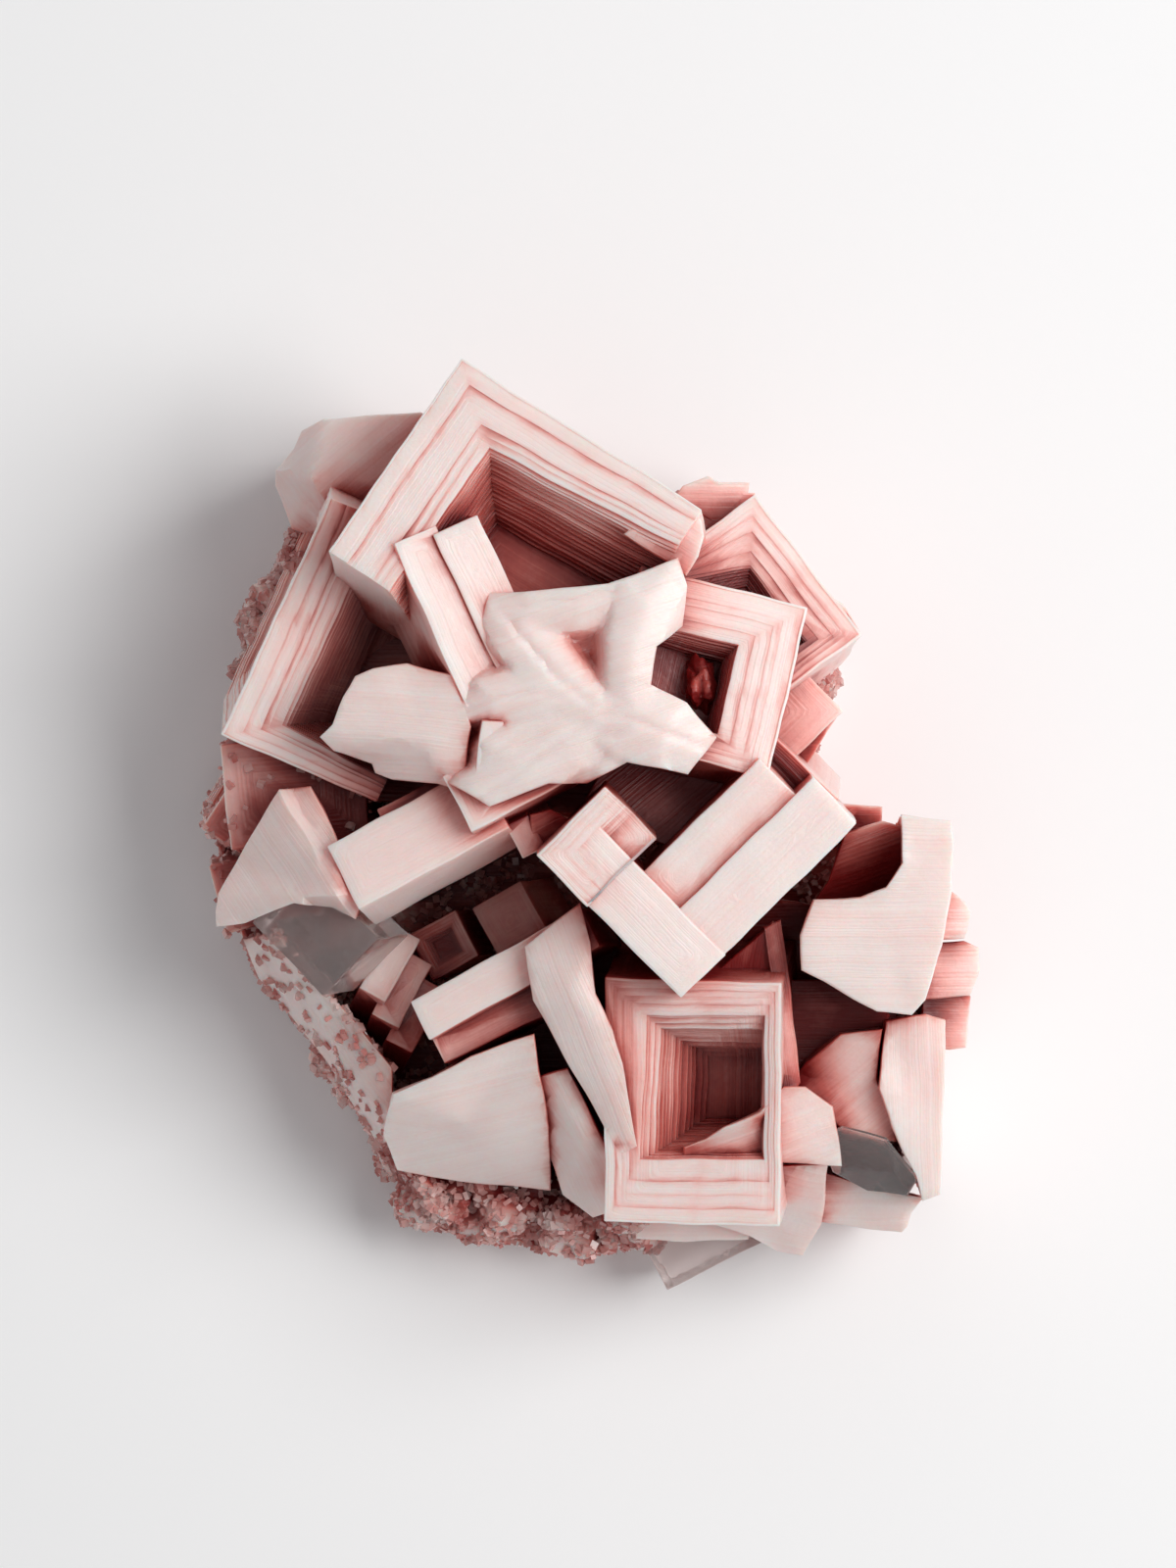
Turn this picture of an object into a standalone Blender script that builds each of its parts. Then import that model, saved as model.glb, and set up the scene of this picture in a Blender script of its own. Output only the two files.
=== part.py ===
"""A cluster of pink halite: hopper cubes grown through each other on a crust of salt grains.

The crystals are laid out in millimetres, seen from above: X to the right, Y away, Z up from the flat
underside. Each crystal is placed by one corner of its top face, the compass heading of its first edge and how
steeply its two top edges rise. Headings are in degrees from +X, turning left. The finished solid is scaled to
metres.
"""

import math

import bmesh
import bpy
from mathutils import Matrix, Vector, noise

MILLIMETRE = 0.001
CRUST_DEPTH = 6.0  # height of the salt crust's plate
CRUST_INSET = 1.6  # how far the crust's broken underside draws in from its rim
RECESS_MOUTH = 1.5  # how far a hopper's cutter stands out of its face
GRAIN_SWELL = 0.22  # how lumpy a salt lump is, as a share of its radius
HALITE_PINK = (0.84, 0.47, 0.43, 1.0)
HALITE_ROUGHNESS = 0.35


def clear_scene():
    for thing in list(bpy.data.objects):
        bpy.data.objects.remove(thing, do_unlink=True)


def new_collection(name):
    group = bpy.data.collections.new(name)
    bpy.context.scene.collection.children.link(group)
    return group


def as_object(bm, name, group):
    """Turns a closed bmesh into an object with its faces pointing out."""
    bmesh.ops.recalc_face_normals(bm, faces=bm.faces)
    bmesh.ops.triangulate(bm, faces=bm.faces)
    mesh = bpy.data.meshes.new(name)
    bm.to_mesh(mesh)
    bm.free()
    thing = bpy.data.objects.new(name, mesh)
    group.objects.link(thing)
    return thing


def closed_volume(mesh):
    """The volume a mesh encloses, or nothing where it isn't closed."""
    bm = bmesh.new()
    bm.from_mesh(mesh)
    closed = all(len(edge.link_faces) == 2 for edge in bm.edges)
    volume = bm.calc_volume(signed=True) if closed else None
    bm.free()
    return volume


def combine(base, tool, operation):
    """Joins the tool to the base, or cuts it out, and removes the tool."""
    before = closed_volume(base.data)
    reach = closed_volume(tool.data)
    tool.hide_render = True
    tool.display_type = "WIRE"
    step = base.modifiers.new(operation.lower(), "BOOLEAN")
    step.operation = operation
    step.object = tool
    for solver in ("EXACT", "MANIFOLD"):
        step.solver = solver
        view = bpy.context.evaluated_depsgraph_get()
        result = bpy.data.meshes.new_from_object(base.evaluated_get(view))
        after = closed_volume(result)
        if operation == "UNION":
            sound = after is not None and max(before, reach) * 0.9999 <= after <= (before + reach) * 1.0001
        else:
            sound = after is not None and (before - reach) * 0.9999 <= after <= before * 1.0001
        if sound:
            break
    base.modifiers.clear()
    spent = [base.data, tool.data]
    base.data = result
    bpy.data.objects.remove(tool, do_unlink=True)
    for mesh in spent:
        bpy.data.meshes.remove(mesh)


def heading_vector(heading, rise):
    turn = math.radians(heading)
    lift = math.radians(rise)
    return Vector((math.cos(turn) * math.cos(lift), math.sin(turn) * math.cos(lift), math.sin(lift)))


def crystal_axes(heading, rises, side):
    """Three square edges: the first two lie in the top face, the third goes down into the crystal.

    The second edge lies to the left of the first for side 1, and to the right for side -1. Its heading
    follows from the two rises, because the edges are square to each other.
    """
    slopes = [math.tan(math.radians(rise)) for rise in rises]
    between = math.degrees(math.acos(-slopes[0] * slopes[1]))
    first = heading_vector(heading, rises[0])
    second = heading_vector(heading + side * between, rises[1])
    down = first.cross(second).normalized() * -side
    return first, second, down


def square(across_from, across_to, along_from, along_to):
    """The four corners of a rectangle in a face's own axes."""
    return [
        (across_from, along_from), (across_to, along_from), (across_to, along_to), (across_from, along_to),
    ]


def hopper_cutter(rim, floor, depth, steps, group):
    """A stack of ever smaller outlines: the stepped hollow of a hopper face, in the face's own axes.

    rim and floor are four corners each. A side that runs past the crystal's own size leaves the hollow open
    there.
    """
    rings = []
    level = depth / steps
    for step in range(steps):
        share = step / (steps - 1)
        outline = [Vector(a).lerp(Vector(b), share) for a, b in zip(rim, floor)]
        upper = -RECESS_MOUTH if step == 0 else level * step
        rings.append([(u, v, upper) for u, v in outline])
        rings.append([(u, v, level * (step + 1)) for u, v in outline])
    return loft(rings, group)


def face_matrix(face, corner, axes, size):
    """The axes of one face of a crystal: two edges of the face, then the way into the crystal."""
    first, second, down = axes
    into = {
        "top": (corner, first, second, down),
        "first": (corner, first, down, second),
        "second": (corner, second, down, first),
        "first_far": (corner + second * size[1], first, down, -second),
        "second_far": (corner + first * size[0], second, down, -first),
    }[face]
    start, u, v, w = into
    turned = Matrix((u, v, w)).transposed().to_4x4()
    return Matrix.Translation(start) @ turned


def crystal(group, corner, heading, rises, side, size, hoppers=(), start=(0.0, 0.0, 0.0)):
    """A cube or bar of halite, with a stepped hopper cut into each face that hoppers names."""
    axes = crystal_axes(heading, rises, side)
    corner = Vector(corner) + sum((axis * along for axis, along in zip(axes, start)), Vector())
    bm = bmesh.new()
    bmesh.ops.create_cube(bm, size=1.0)
    unit = Matrix.Translation((0.5, 0.5, 0.5))
    stretch = Matrix.Diagonal((*size, 1.0))
    bmesh.ops.transform(bm, matrix=face_matrix("top", corner, axes, size) @ stretch @ unit, verts=bm.verts)
    solid = as_object(bm, "crystal", group)
    for face, rim, floor, depth, steps in hoppers:
        cutter = hopper_cutter(rim, floor, depth, steps, group)
        cutter.data.transform(face_matrix(face, corner, axes, size))
        if face_matrix(face, corner, axes, size).determinant() < 0:
            cutter.data.flip_normals()
        combine(solid, cutter, "DIFFERENCE")
    return solid


def loft(rings, group, peak=None):
    """A closed solid through rings of points, with a fan of facets up to the peak where one is given."""
    bm = bmesh.new()
    rows = [[bm.verts.new(point) for point in ring] for ring in rings]
    for upper, lower in zip(rows, rows[1:]):
        for i in range(len(upper)):
            bm.faces.new((upper[i], upper[i - 1], lower[i - 1], lower[i]))
    bm.faces.new(rows[-1])
    if peak:
        tip = bm.verts.new(peak)
        for i in range(len(rows[0])):
            bm.faces.new((rows[0][i - 1], rows[0][i], tip))
    else:
        bm.faces.new(rows[0])
    return as_object(bm, "lofted", group)


def drawn_in(outline, inset):
    """The outline moved towards its middle by the inset."""
    middle = sum((Vector(point) for point in outline), Vector((0.0, 0.0))) / len(outline)
    moved = []
    for point in outline:
        inward = middle - Vector(point)
        moved.append(Vector(point) + inward.normalized() * inset)
    return moved


def block(group, top, foot, inset=0.6, peak=None):
    """A block of flat facets: the corners of its top, each at its own height, down to its foot.

    With a peak, the facets of the top fan out from it.
    """
    bottom = [(x, y, foot) for x, y in drawn_in([point[:2] for point in top], inset)]
    return loft([top, bottom], group, peak)


def blade(group, spine, widths, tilt=0.0, groove=0.5, shoulder=0.9, depth=7.0):
    """A leaf-like arm along a spine of points: two ridges with a groove between, and sloping shoulders."""
    points = [Vector(point) for point in spine]
    rings = []
    for i, point in enumerate(points):
        along = points[min(i + 1, len(points) - 1)] - points[max(i - 1, 0)]
        across = Vector((0.0, 0.0, 1.0)).cross(along).normalized()
        across = Matrix.Rotation(math.radians(tilt), 3, along.normalized()) @ across
        up = along.cross(across).normalized()
        half = widths[i] / 2
        scale = widths[i] / max(widths)
        profile = [
            (-1.0, -shoulder * scale),
            (-0.5, 0.0),
            (0.0, -groove * scale),
            (0.5, 0.0),
            (1.0, -shoulder * scale),
            (0.6, -depth),
            (-0.6, -depth),
        ]
        rings.append([point + across * (half * u) + up * v for u, v in profile])
    return loft(rings, group)


def lump(group, centre, radii, seed):
    """A rounded knot of salt grains."""
    bm = bmesh.new()
    bmesh.ops.create_icosphere(bm, subdivisions=2, radius=1.0)
    for vert in bm.verts:
        swell = noise.noise(vert.co * 1.7 + Vector((seed * 3.1, seed * 1.7, 0.0)))
        vert.co *= 1.0 + GRAIN_SWELL * 2.0 * swell
        vert.co = Vector([a * b for a, b in zip(vert.co, radii)]) + Vector(centre)
    return as_object(bm, "lump", group)


def upper_crystals(group):
    """The big open frame at the back, the long frame on the left, and what stands behind them."""
    crown = crystal(
        group, (-10.7, 39.4, 33.0), -32.3, (10.3, 10.3), -1, (24.4, 20.1, 17.0),
        [
            (
                "top",
                [(6.3, 5.25), (30.0, 3.2), (30.0, 30.0), (6.1, 30.0)],
                [(8.6, 8.6), (30.0, 8.0), (30.0, 30.0), (8.4, 30.0)],
                11.0, 5,
            ),
            ("first", square(3.5, 21.0, 3.0, 14.0), square(8.0, 17.0, 6.0, 11.0), 3.0, 3),
            ("second", square(3.0, 17.0, 3.0, 14.0), square(6.5, 13.5, 6.0, 11.0), 2.6, 3),
        ],
    )
    crown_end = block(
        group, [(7.4, 27.8, 37.0), (9.5, 25.7, 37.0), (9.7, 24.3, 37.2), (9.2, 22.6, 37.4),
            (8.2, 21.0, 37.2), (3.0, 24.5, 36.6)],
        24.0, inset=1.6,
    )
    left_frame = crystal(
        group, (-31.1, 7.7, 27.0), 65.1, (9.0, -5.7), -1, (22.4, 14.4, 16.0),
        [
            (
                "top",
                [(2.8, 4.4), (26.0, 4.4), (26.0, 24.0), (1.3, 24.0)],
                [(3.6, 9.4), (26.0, 9.4), (26.0, 24.0), (2.6, 24.0)],
                10.5, 5,
            ),
            ("first", square(3.0, 19.5, 3.0, 13.0), square(7.0, 15.5, 5.5, 10.5), 2.4, 3),
        ],
    )
    back_block = block(
        group,
        [
            (-22.5, 34.6, 24.0), (-14.2, 35.1, 25.0), (-10.8, 33.5, 25.0), (-14.2, 26.8, 25.0),
            (-20.9, 22.4, 20.0), (-23.5, 24.8, 17.0), (-25.4, 25.5, 16.0), (-26.8, 29.1, 17.5),
            (-26.6, 30.3, 20.0), (-25.1, 32.1, 21.5), (-24.4, 33.6, 22.0),
        ],
        5.0, inset=1.2, peak=(-23.6, 29.4, 24.8),
    )
    small_tip = block(
        group,
        [(-3.3, 33.6, 21.0), (-2.1, 34.6, 22.0), (-0.7, 34.6, 22.0), (-0.2, 33.1, 21.0),
            (-0.8, 30.7, 20.0)],
        4.0,
    )
    back_cube = crystal(
        group, (-9.0, 31.5, 17.0), -28.0, (-8.0, -4.0), -1, (15.0, 12.0, 14.0),
        [("first", square(2.5, 12.5, 2.5, 11.5), square(5.0, 10.0, 5.0, 9.0), 2.0, 3)],
    )
    pillar = crystal(group, (-16.3, 23.6, 37.4), -66.0, (-4.0, -14.0), 1, (15.0, 4.0, 12.0))
    pillar_side = crystal(group, (-13.0, 24.4, 37.0), -65.0, (-4.0, -8.0), 1, (14.5, 4.2, 11.0))
    pointed_block = block(
        group,
        [
            (-22.6, 7.5, 33.0), (-21.5, 8.6, 33.8), (-20.6, 10.9, 34.2), (-19.6, 12.6, 34.4),
            (-18.1, 13.2, 34.8), (-15.2, 13.7, 35.2), (-11.4, 12.7, 36.2), (-9.8, 8.4, 36.2),
            (-10.6, 2.8, 33.6), (-12.8, 3.5, 32.4), (-16.5, 3.9, 31.2), (-17.9, 4.5, 31.0),
            (-18.2, 5.3, 31.4), (-21.5, 6.3, 32.0),
        ],
        20.0, inset=4.0, peak=(-14.0, 6.8, 35.4),
    )
    return [crown, crown_end, left_frame, back_block, small_tip, back_cube, pillar, pillar_side,
        pointed_block]


def right_back_crystals(group):
    """The paler cubes at the back right, and the frame round a hollow with a crumbly lump in it."""
    back_right = crystal(
        group, (14.3, 28.4, 24.0), 184.0, (4.0, 4.0), 1, (6.8, 9.0, 18.0),
        [("top", square(1.3, 5.6, 1.0, 4.0), square(2.0, 5.0, 1.8, 3.4), 1.0, 2)],
    )
    back_tip = block(
        group, [(7.4, 28.0, 25.0), (8.0, 28.8, 25.0), (10.2, 29.7, 25.0), (11.1, 29.2, 25.0),
            (13.8, 29.2, 24.0), (13.0, 24.0, 24.0)],
        6.0,
    )
    right_frame = crystal(
        group, (14.2, 28.1, 27.5), -52.8, (4.0, 9.0), -1, (15.0, 13.0, 16.0),
        [
            (
                "top",
                [(4.6, 4.1), (12.6, 4.1), (12.6, 16.0), (1.2, 10.8)],
                [(5.8, 5.2), (12.2, 5.2), (12.2, 16.0), (3.0, 12.0)],
                3.0, 3,
            ),
            ("first", square(3.0, 12.5, 3.0, 14.0), square(6.0, 10.0, 6.0, 11.0), 2.4, 3),
        ],
    )
    frame_end = block(
        group,
        [(23.1, 16.4, 28.0), (21.7, 15.6, 28.0), (20.4, 15.2, 27.6), (17.0, 16.0, 27.0),
            (18.0, 21.0, 28.0), (21.6, 18.8, 28.4)],
        8.0, inset=1.4,
    )
    coral_frame = crystal(
        group, (18.6, 18.4, 33.0), 166.0, (5.0, 8.0), 1, (14.6, 15.0, 14.0),
        [
            ("top", square(5.0, 13.2, 4.6, 12.4), square(5.7, 12.6, 5.6, 11.8), 6.0, 3),
            ("second", square(3.0, 11.5, 3.0, 11.5), square(5.5, 9.0, 5.5, 9.0), 2.2, 3),
        ],
    )
    crumbly_lump = lump(group, (9.6, 12.0, 29.5), (1.3, 2.2, 2.4), 3)
    right_corner = crystal(
        group, (21.7, 9.6, 25.0), 133.0, (6.0, 4.0), 1, (9.0, 8.0, 15.0),
        [("second", square(2.0, 6.5, 2.5, 12.0), square(3.5, 5.0, 5.0, 9.5), 1.6, 2)],
    )
    right_step = block(
        group,
        [(21.3, 9.4, 23.0), (20.0, 7.3, 24.0), (18.6, 4.9, 23.0), (17.1, 5.6, 23.0), (13.0, 10.0, 25.0),
            (18.0, 12.0, 25.0)],
        5.0,
    )
    right_shelf = crystal(
        group, (21.3, 2.3, 27.0), 136.0, (3.0, -6.0), 1, (9.0, 4.2, 16.0),
        [("top", square(-1.0, 7.5, 1.3, 2.8), square(-1.0, 7.0, 1.7, 2.4), 1.0, 2)],
    )
    return [
        back_right, back_tip, right_frame, frame_end, coral_frame, crumbly_lump, right_corner, right_step,
        right_shelf,
    ]


def star(group):
    """The star of leaf-like arms in the middle, on a shared root."""
    root = block(
        group,
        [
            (-8.3, 19.6, 36.0), (-3.3, 19.8, 37.0), (1.7, 20.3, 37.2), (7.5, 22.4, 37.0), (8.3, 20.1, 37.0),
            (8.0, 16.8, 37.0), (5.8, 15.1, 37.4), (5.2, 11.8, 37.2), (8.3, 10.3, 36.8), (10.8, 7.4, 35.6),
            (8.3, 4.3, 35.4), (3.3, 5.4, 36.2), (0.0, 3.5, 35.0), (-3.3, 3.5, 35.4), (-8.3, 1.6, 34.4),
            (-12.4, 3.9, 33.8), (-12.4, 11.8, 35.8), (-10.1, 12.6, 36.2),
        ],
        18.0, inset=1.8,
    )
    upper_wing = blade(
        group,
        [(9.2, 23.4, 37.8), (6.9, 21.8, 38.2), (3.3, 20.0, 38.6), (-0.8, 19.1, 38.4),
            (-4.9, 18.6, 37.8), (-9.0, 18.3, 36.6)],
        [3.4, 4.6, 5.2, 5.0, 4.0, 0.9], groove=0.35, shoulder=1.0,
    )
    white_ridge = blade(
        group, [(6.6, 21.0, 38.6), (4.9, 18.6, 39.2), (3.8, 15.6, 39.6), (3.6, 12.6, 39.2),
            (3.3, 9.6, 38.4)],
        [3.6, 4.6, 4.2, 3.8, 3.0], groove=0.1, shoulder=1.2,
    )
    right_leaf = blade(
        group, [(1.0, 9.4, 38.4), (3.8, 8.9, 38.9), (6.6, 7.8, 39.0), (9.4, 6.8, 38.4), (12.2, 6.1, 36.6)],
        [3.6, 6.4, 7.2, 5.6, 1.4], groove=0.3, shoulder=1.2,
    )
    low_wing = blade(
        group, [(4.1, 8.8, 38.2), (2.1, 7.0, 38.2), (0.6, 4.9, 37.4), (-0.4, 2.6, 35.6)],
        [2.6, 3.8, 3.6, 1.6], groove=0.4, shoulder=0.9,
    )
    bar_arm = blade(
        group,
        [(1.8, 9.9, 38.4), (-2.1, 7.2, 37.9), (-5.8, 4.5, 37.0), (-9.1, 2.2, 36.0), (-12.4, 0.2, 34.8)],
        [3.2, 5.4, 5.2, 4.6, 3.6], groove=0.25, shoulder=1.0,
    )
    left_arm = blade(
        group, [(0.4, 10.7, 38.3), (-4.5, 11.3, 37.9), (-8.2, 10.7, 37.3), (-11.3, 9.4, 36.0)],
        [2.2, 3.6, 3.4, 1.4], groove=0.35, shoulder=0.8,
    )
    back_arm = blade(
        group, [(0.4, 10.2, 38.4), (-2.9, 12.8, 38.1), (-5.8, 16.2, 37.6), (-8.2, 19.5, 36.6)],
        [3.0, 4.4, 4.6, 3.0], groove=0.5, shoulder=0.9,
    )
    low_arm = blade(
        group, [(-4.5, 8.6, 37.4), (-7.4, 6.4, 37.0), (-9.2, 3.1, 35.4)],
        [2.4, 3.0, 1.8], groove=0.3, shoulder=0.8,
    )
    prism = crystal(group, (-8.9, 8.9, 37.0), -97.0, (-14.0, -6.0), 1, (6.0, 1.9, 5.0))
    return [
        root, upper_wing, white_ridge, right_leaf, low_wing, bar_arm, left_arm, back_arm, low_arm, prism,
    ]


def left_crystals(group):
    """The long bar, the fan-shaped corner at its left end, the clear cube and what stands in the cavern."""
    long_bar = crystal(
        group, (-19.3, -7.1, 32.0), 28.5, (3.0, -14.0), 1, (14.5, 6.2, 7.6),
    )
    bar_end = crystal(group, (-9.8, -0.6, 34.6), 28.0, (2.0, -6.0), 1, (9.6, 5.4, 6.0))
    bar_root = crystal(group, (-15.5, -3.4, 29.0), 28.0, (1.0, -10.0), 1, (13.0, 5.4, 16.0))
    hanging_block = block(
        group,
        [(-4.9, 1.0, 32.0), (-3.2, 1.4, 32.0), (-1.1, 0.2, 31.0), (-2.3, -1.3, 30.4),
            (-3.9, -2.6, 30.4), (-4.8, -1.7, 30.8)],
        22.0,
    )
    hanging_cube = crystal(group, (-7.0, -0.1, 31.5), -62.0, (-10.0, 0.0), 1, (3.2, 2.2, 7.0))
    fan_corner = block(
        group,
        [
            (-26.2, 3.1, 26.6), (-24.9, 3.2, 26.0), (-23.5, 3.3, 27.0), (-22.4, 1.4, 28.0),
            (-21.3, -1.1, 30.0),
            (-18.9, -6.4, 31.0), (-19.7, -7.9, 29.6), (-21.6, -6.9, 28.6), (-24.9, -6.6, 27.0),
            (-29.2, -8.3, 24.6), (-31.6, -8.6, 23.6), (-31.7, -7.3, 24.2), (-31.5, -5.8, 24.4),
            (-30.0, -3.2, 24.0), (-28.2, -0.2, 25.4),
        ],
        9.0, inset=1.5, peak=(-21.1, -6.0, 31.8),
    )
    clear_cube = crystal(group, (-22.5, -14.5, 26.6), 134.0, (-10.0, 12.0), -1, (8.8, 7.0, 9.0))
    cave_back = crystal(group, (-15.0, -6.0, 14.0), 28.0, (0.0, -6.0), 1, (15.0, 6.0, 12.0))
    cave_cube = crystal(
        group, (-13.4, -13.4, 14.0), 28.0, (8.0, -4.0), 1, (4.6, 4.4, 12.0),
        [("top", square(1.0, 3.6, 1.0, 3.4), square(1.4, 3.2, 1.4, 3.0), 0.8, 2)],
    )
    cave_facet = crystal(group, (-7.6, -11.6, 15.0), 30.0, (14.0, -6.0), 1, (5.0, 5.0, 14.0))
    cave_steps = [
        crystal(
            group, (-19.6 + 1.1 * i, -14.0 - 2.2 * i, 19.0 - 0.8 * i), 62.0, (-18.0, 0.0), -1, (6.5, 2.6, 14.0),
        )
        for i in range(3)
    ]
    left_root = crystal(
        group, (-33.2, -0.4, 16.0), 58.0, (6.0, -6.0), -1, (9.0, 10.0, 14.0),
        [("first", square(1.5, 7.5, 1.5, 9.0), square(3.0, 6.0, 3.5, 7.0), 1.2, 2)],
    )
    left_step = crystal(group, (-31.5, 6.8, 20.5), -84.0, (-4.0, 4.0), 1, (9.0, 12.0, 18.0))
    low_step = crystal(group, (-32.6, -3.6, 14.5), -76.0, (-4.0, 3.0), 1, (6.0, 10.0, 12.0))
    strip = block(
        group,
        [
            (-29.7, -9.9, 14.0), (-28.4, -13.3, 12.0), (-26.5, -15.4, 11.0), (-22.3, -20.9, 11.0),
            (-18.1, -27.7, 12.0), (-16.4, -26.7, 18.0), (-16.8, -20.8, 19.0), (-20.1, -16.6, 18.0),
            (-23.6, -13.0, 20.0), (-25.9, -9.0, 22.0),
        ],
        1.0, inset=0.8,
    )
    return [
        long_bar, bar_end, bar_root, hanging_block, hanging_cube, fan_corner, clear_cube, cave_back,
        cave_cube,
        cave_facet, *cave_steps, left_root, left_step, low_step, strip,
    ]


def front_crystals(group):
    """The crossed slabs in front of the cavern, the ribbed block, and the square hopper beside them."""
    cross_slab = crystal(group, (-15.1, -15.0, 26.2), 28.9, (10.0, 7.0), -1, (16.8, 3.6, 9.0))
    cross_step = crystal(group, (-13.6, -17.4, 24.2), 26.0, (10.0, 5.0), -1, (11.0, 3.2, 9.0))
    cross_blade = block(
        group,
        [
            (-0.7, -6.6, 31.4), (0.2, -9.8, 31.8), (0.6, -14.3, 31.4), (2.1, -17.3, 30.8),
            (2.9, -20.2, 29.8),
            (4.2, -27.3, 26.8), (2.7, -28.0, 25.8), (1.5, -25.7, 26.4), (-2.1, -19.4, 28.6),
            (-4.6, -14.8, 30.0),
            (-5.4, -10.2, 30.0),
        ],
        12.0, inset=0.8, peak=(-0.8, -14.2, 32.0),
    )
    cross_bar = block(
        group,
        [
            (-4.3, -21.5, 25.4), (-3.3, -21.1, 26.2), (-1.7, -20.6, 27.0), (0.0, -24.0, 26.0),
            (2.1, -28.2, 24.0),
            (3.0, -29.9, 22.0), (2.3, -33.0, 18.0), (0.4, -33.7, 16.0), (-2.1, -31.7, 17.0),
            (-3.3, -28.3, 19.0),
        ],
        5.0, inset=0.8, peak=(-0.6, -26.6, 24.6),
    )
    ribbed_block = block(
        group,
        [
            (-16.7, -22.9, 24.6), (-13.3, -21.5, 26.0), (-10.0, -19.6, 27.2), (-4.6, -17.7, 28.6),
            (-4.0, -21.5, 26.2), (-3.3, -25.8, 22.6), (-3.2, -31.4, 15.6), (-11.0, -30.7, 14.0),
            (-16.4, -29.8, 13.6), (-17.5, -26.7, 17.8), (-17.1, -24.5, 21.8),
        ],
        3.0, inset=0.6, peak=(-10.2, -25.6, 21.6),
    )
    front_frame = crystal(
        group, (1.4, -12.9, 29.6), -1.5, (6.0, -14.0), -1, (15.0, 21.5, 15.0),
        [
            (
                "top",
                [(3.6, 3.2), (13.6, 3.0), (13.6, 15.6), (3.0, 16.0)],
                [(8.2, 9.0), (12.6, 9.0), (12.6, 14.4), (8.0, 14.4)],
                8.5, 6,
            ),
            ("first_far", square(3.0, 12.0, 3.0, 12.0), square(5.0, 10.0, 5.0, 10.0), 1.8, 3),
        ],
    )
    ledge = block(
        group,
        [
            (8.1, -28.9, 25.0), (8.1, -27.4, 26.4), (10.0, -26.7, 27.0), (11.6, -25.6, 28.0),
            (14.5, -24.3, 28.4),
            (16.6, -22.2, 28.4), (18.4, -22.2, 28.0), (20.8, -23.9, 27.0), (21.6, -29.0, 25.0),
            (15.8, -28.6, 25.4), (9.6, -30.1, 24.6),
        ],
        10.0,
    )
    wedge = block(
        group,
        [
            (8.1, -29.5, 24.0), (13.3, -29.0, 25.0), (20.4, -28.8, 25.0), (20.3, -31.7, 21.0),
            (20.0, -34.3, 17.0),
            (18.5, -37.1, 13.0), (16.4, -36.7, 13.0), (13.9, -35.3, 15.0), (8.4, -33.4, 18.0),
        ],
        2.0, inset=1.2,
    )
    front_foot = block(
        group,
        [(4.0, -27.0, 18.0), (13.5, -28.0, 20.0), (13.8, -35.6, 14.0), (8.4, -36.0, 13.0),
            (4.2, -35.6, 14.0)],
        1.0, inset=0.8,
    )
    clear_chip = crystal(group, (6.9, -40.3, 9.0), 118.0, (6.0, 8.0), -1, (5.0, 9.6, 7.0))
    return [
        cross_slab, cross_step, cross_blade, cross_bar, ribbed_block, front_frame, ledge, wedge, front_foot,
        clear_chip,
    ]


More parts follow.
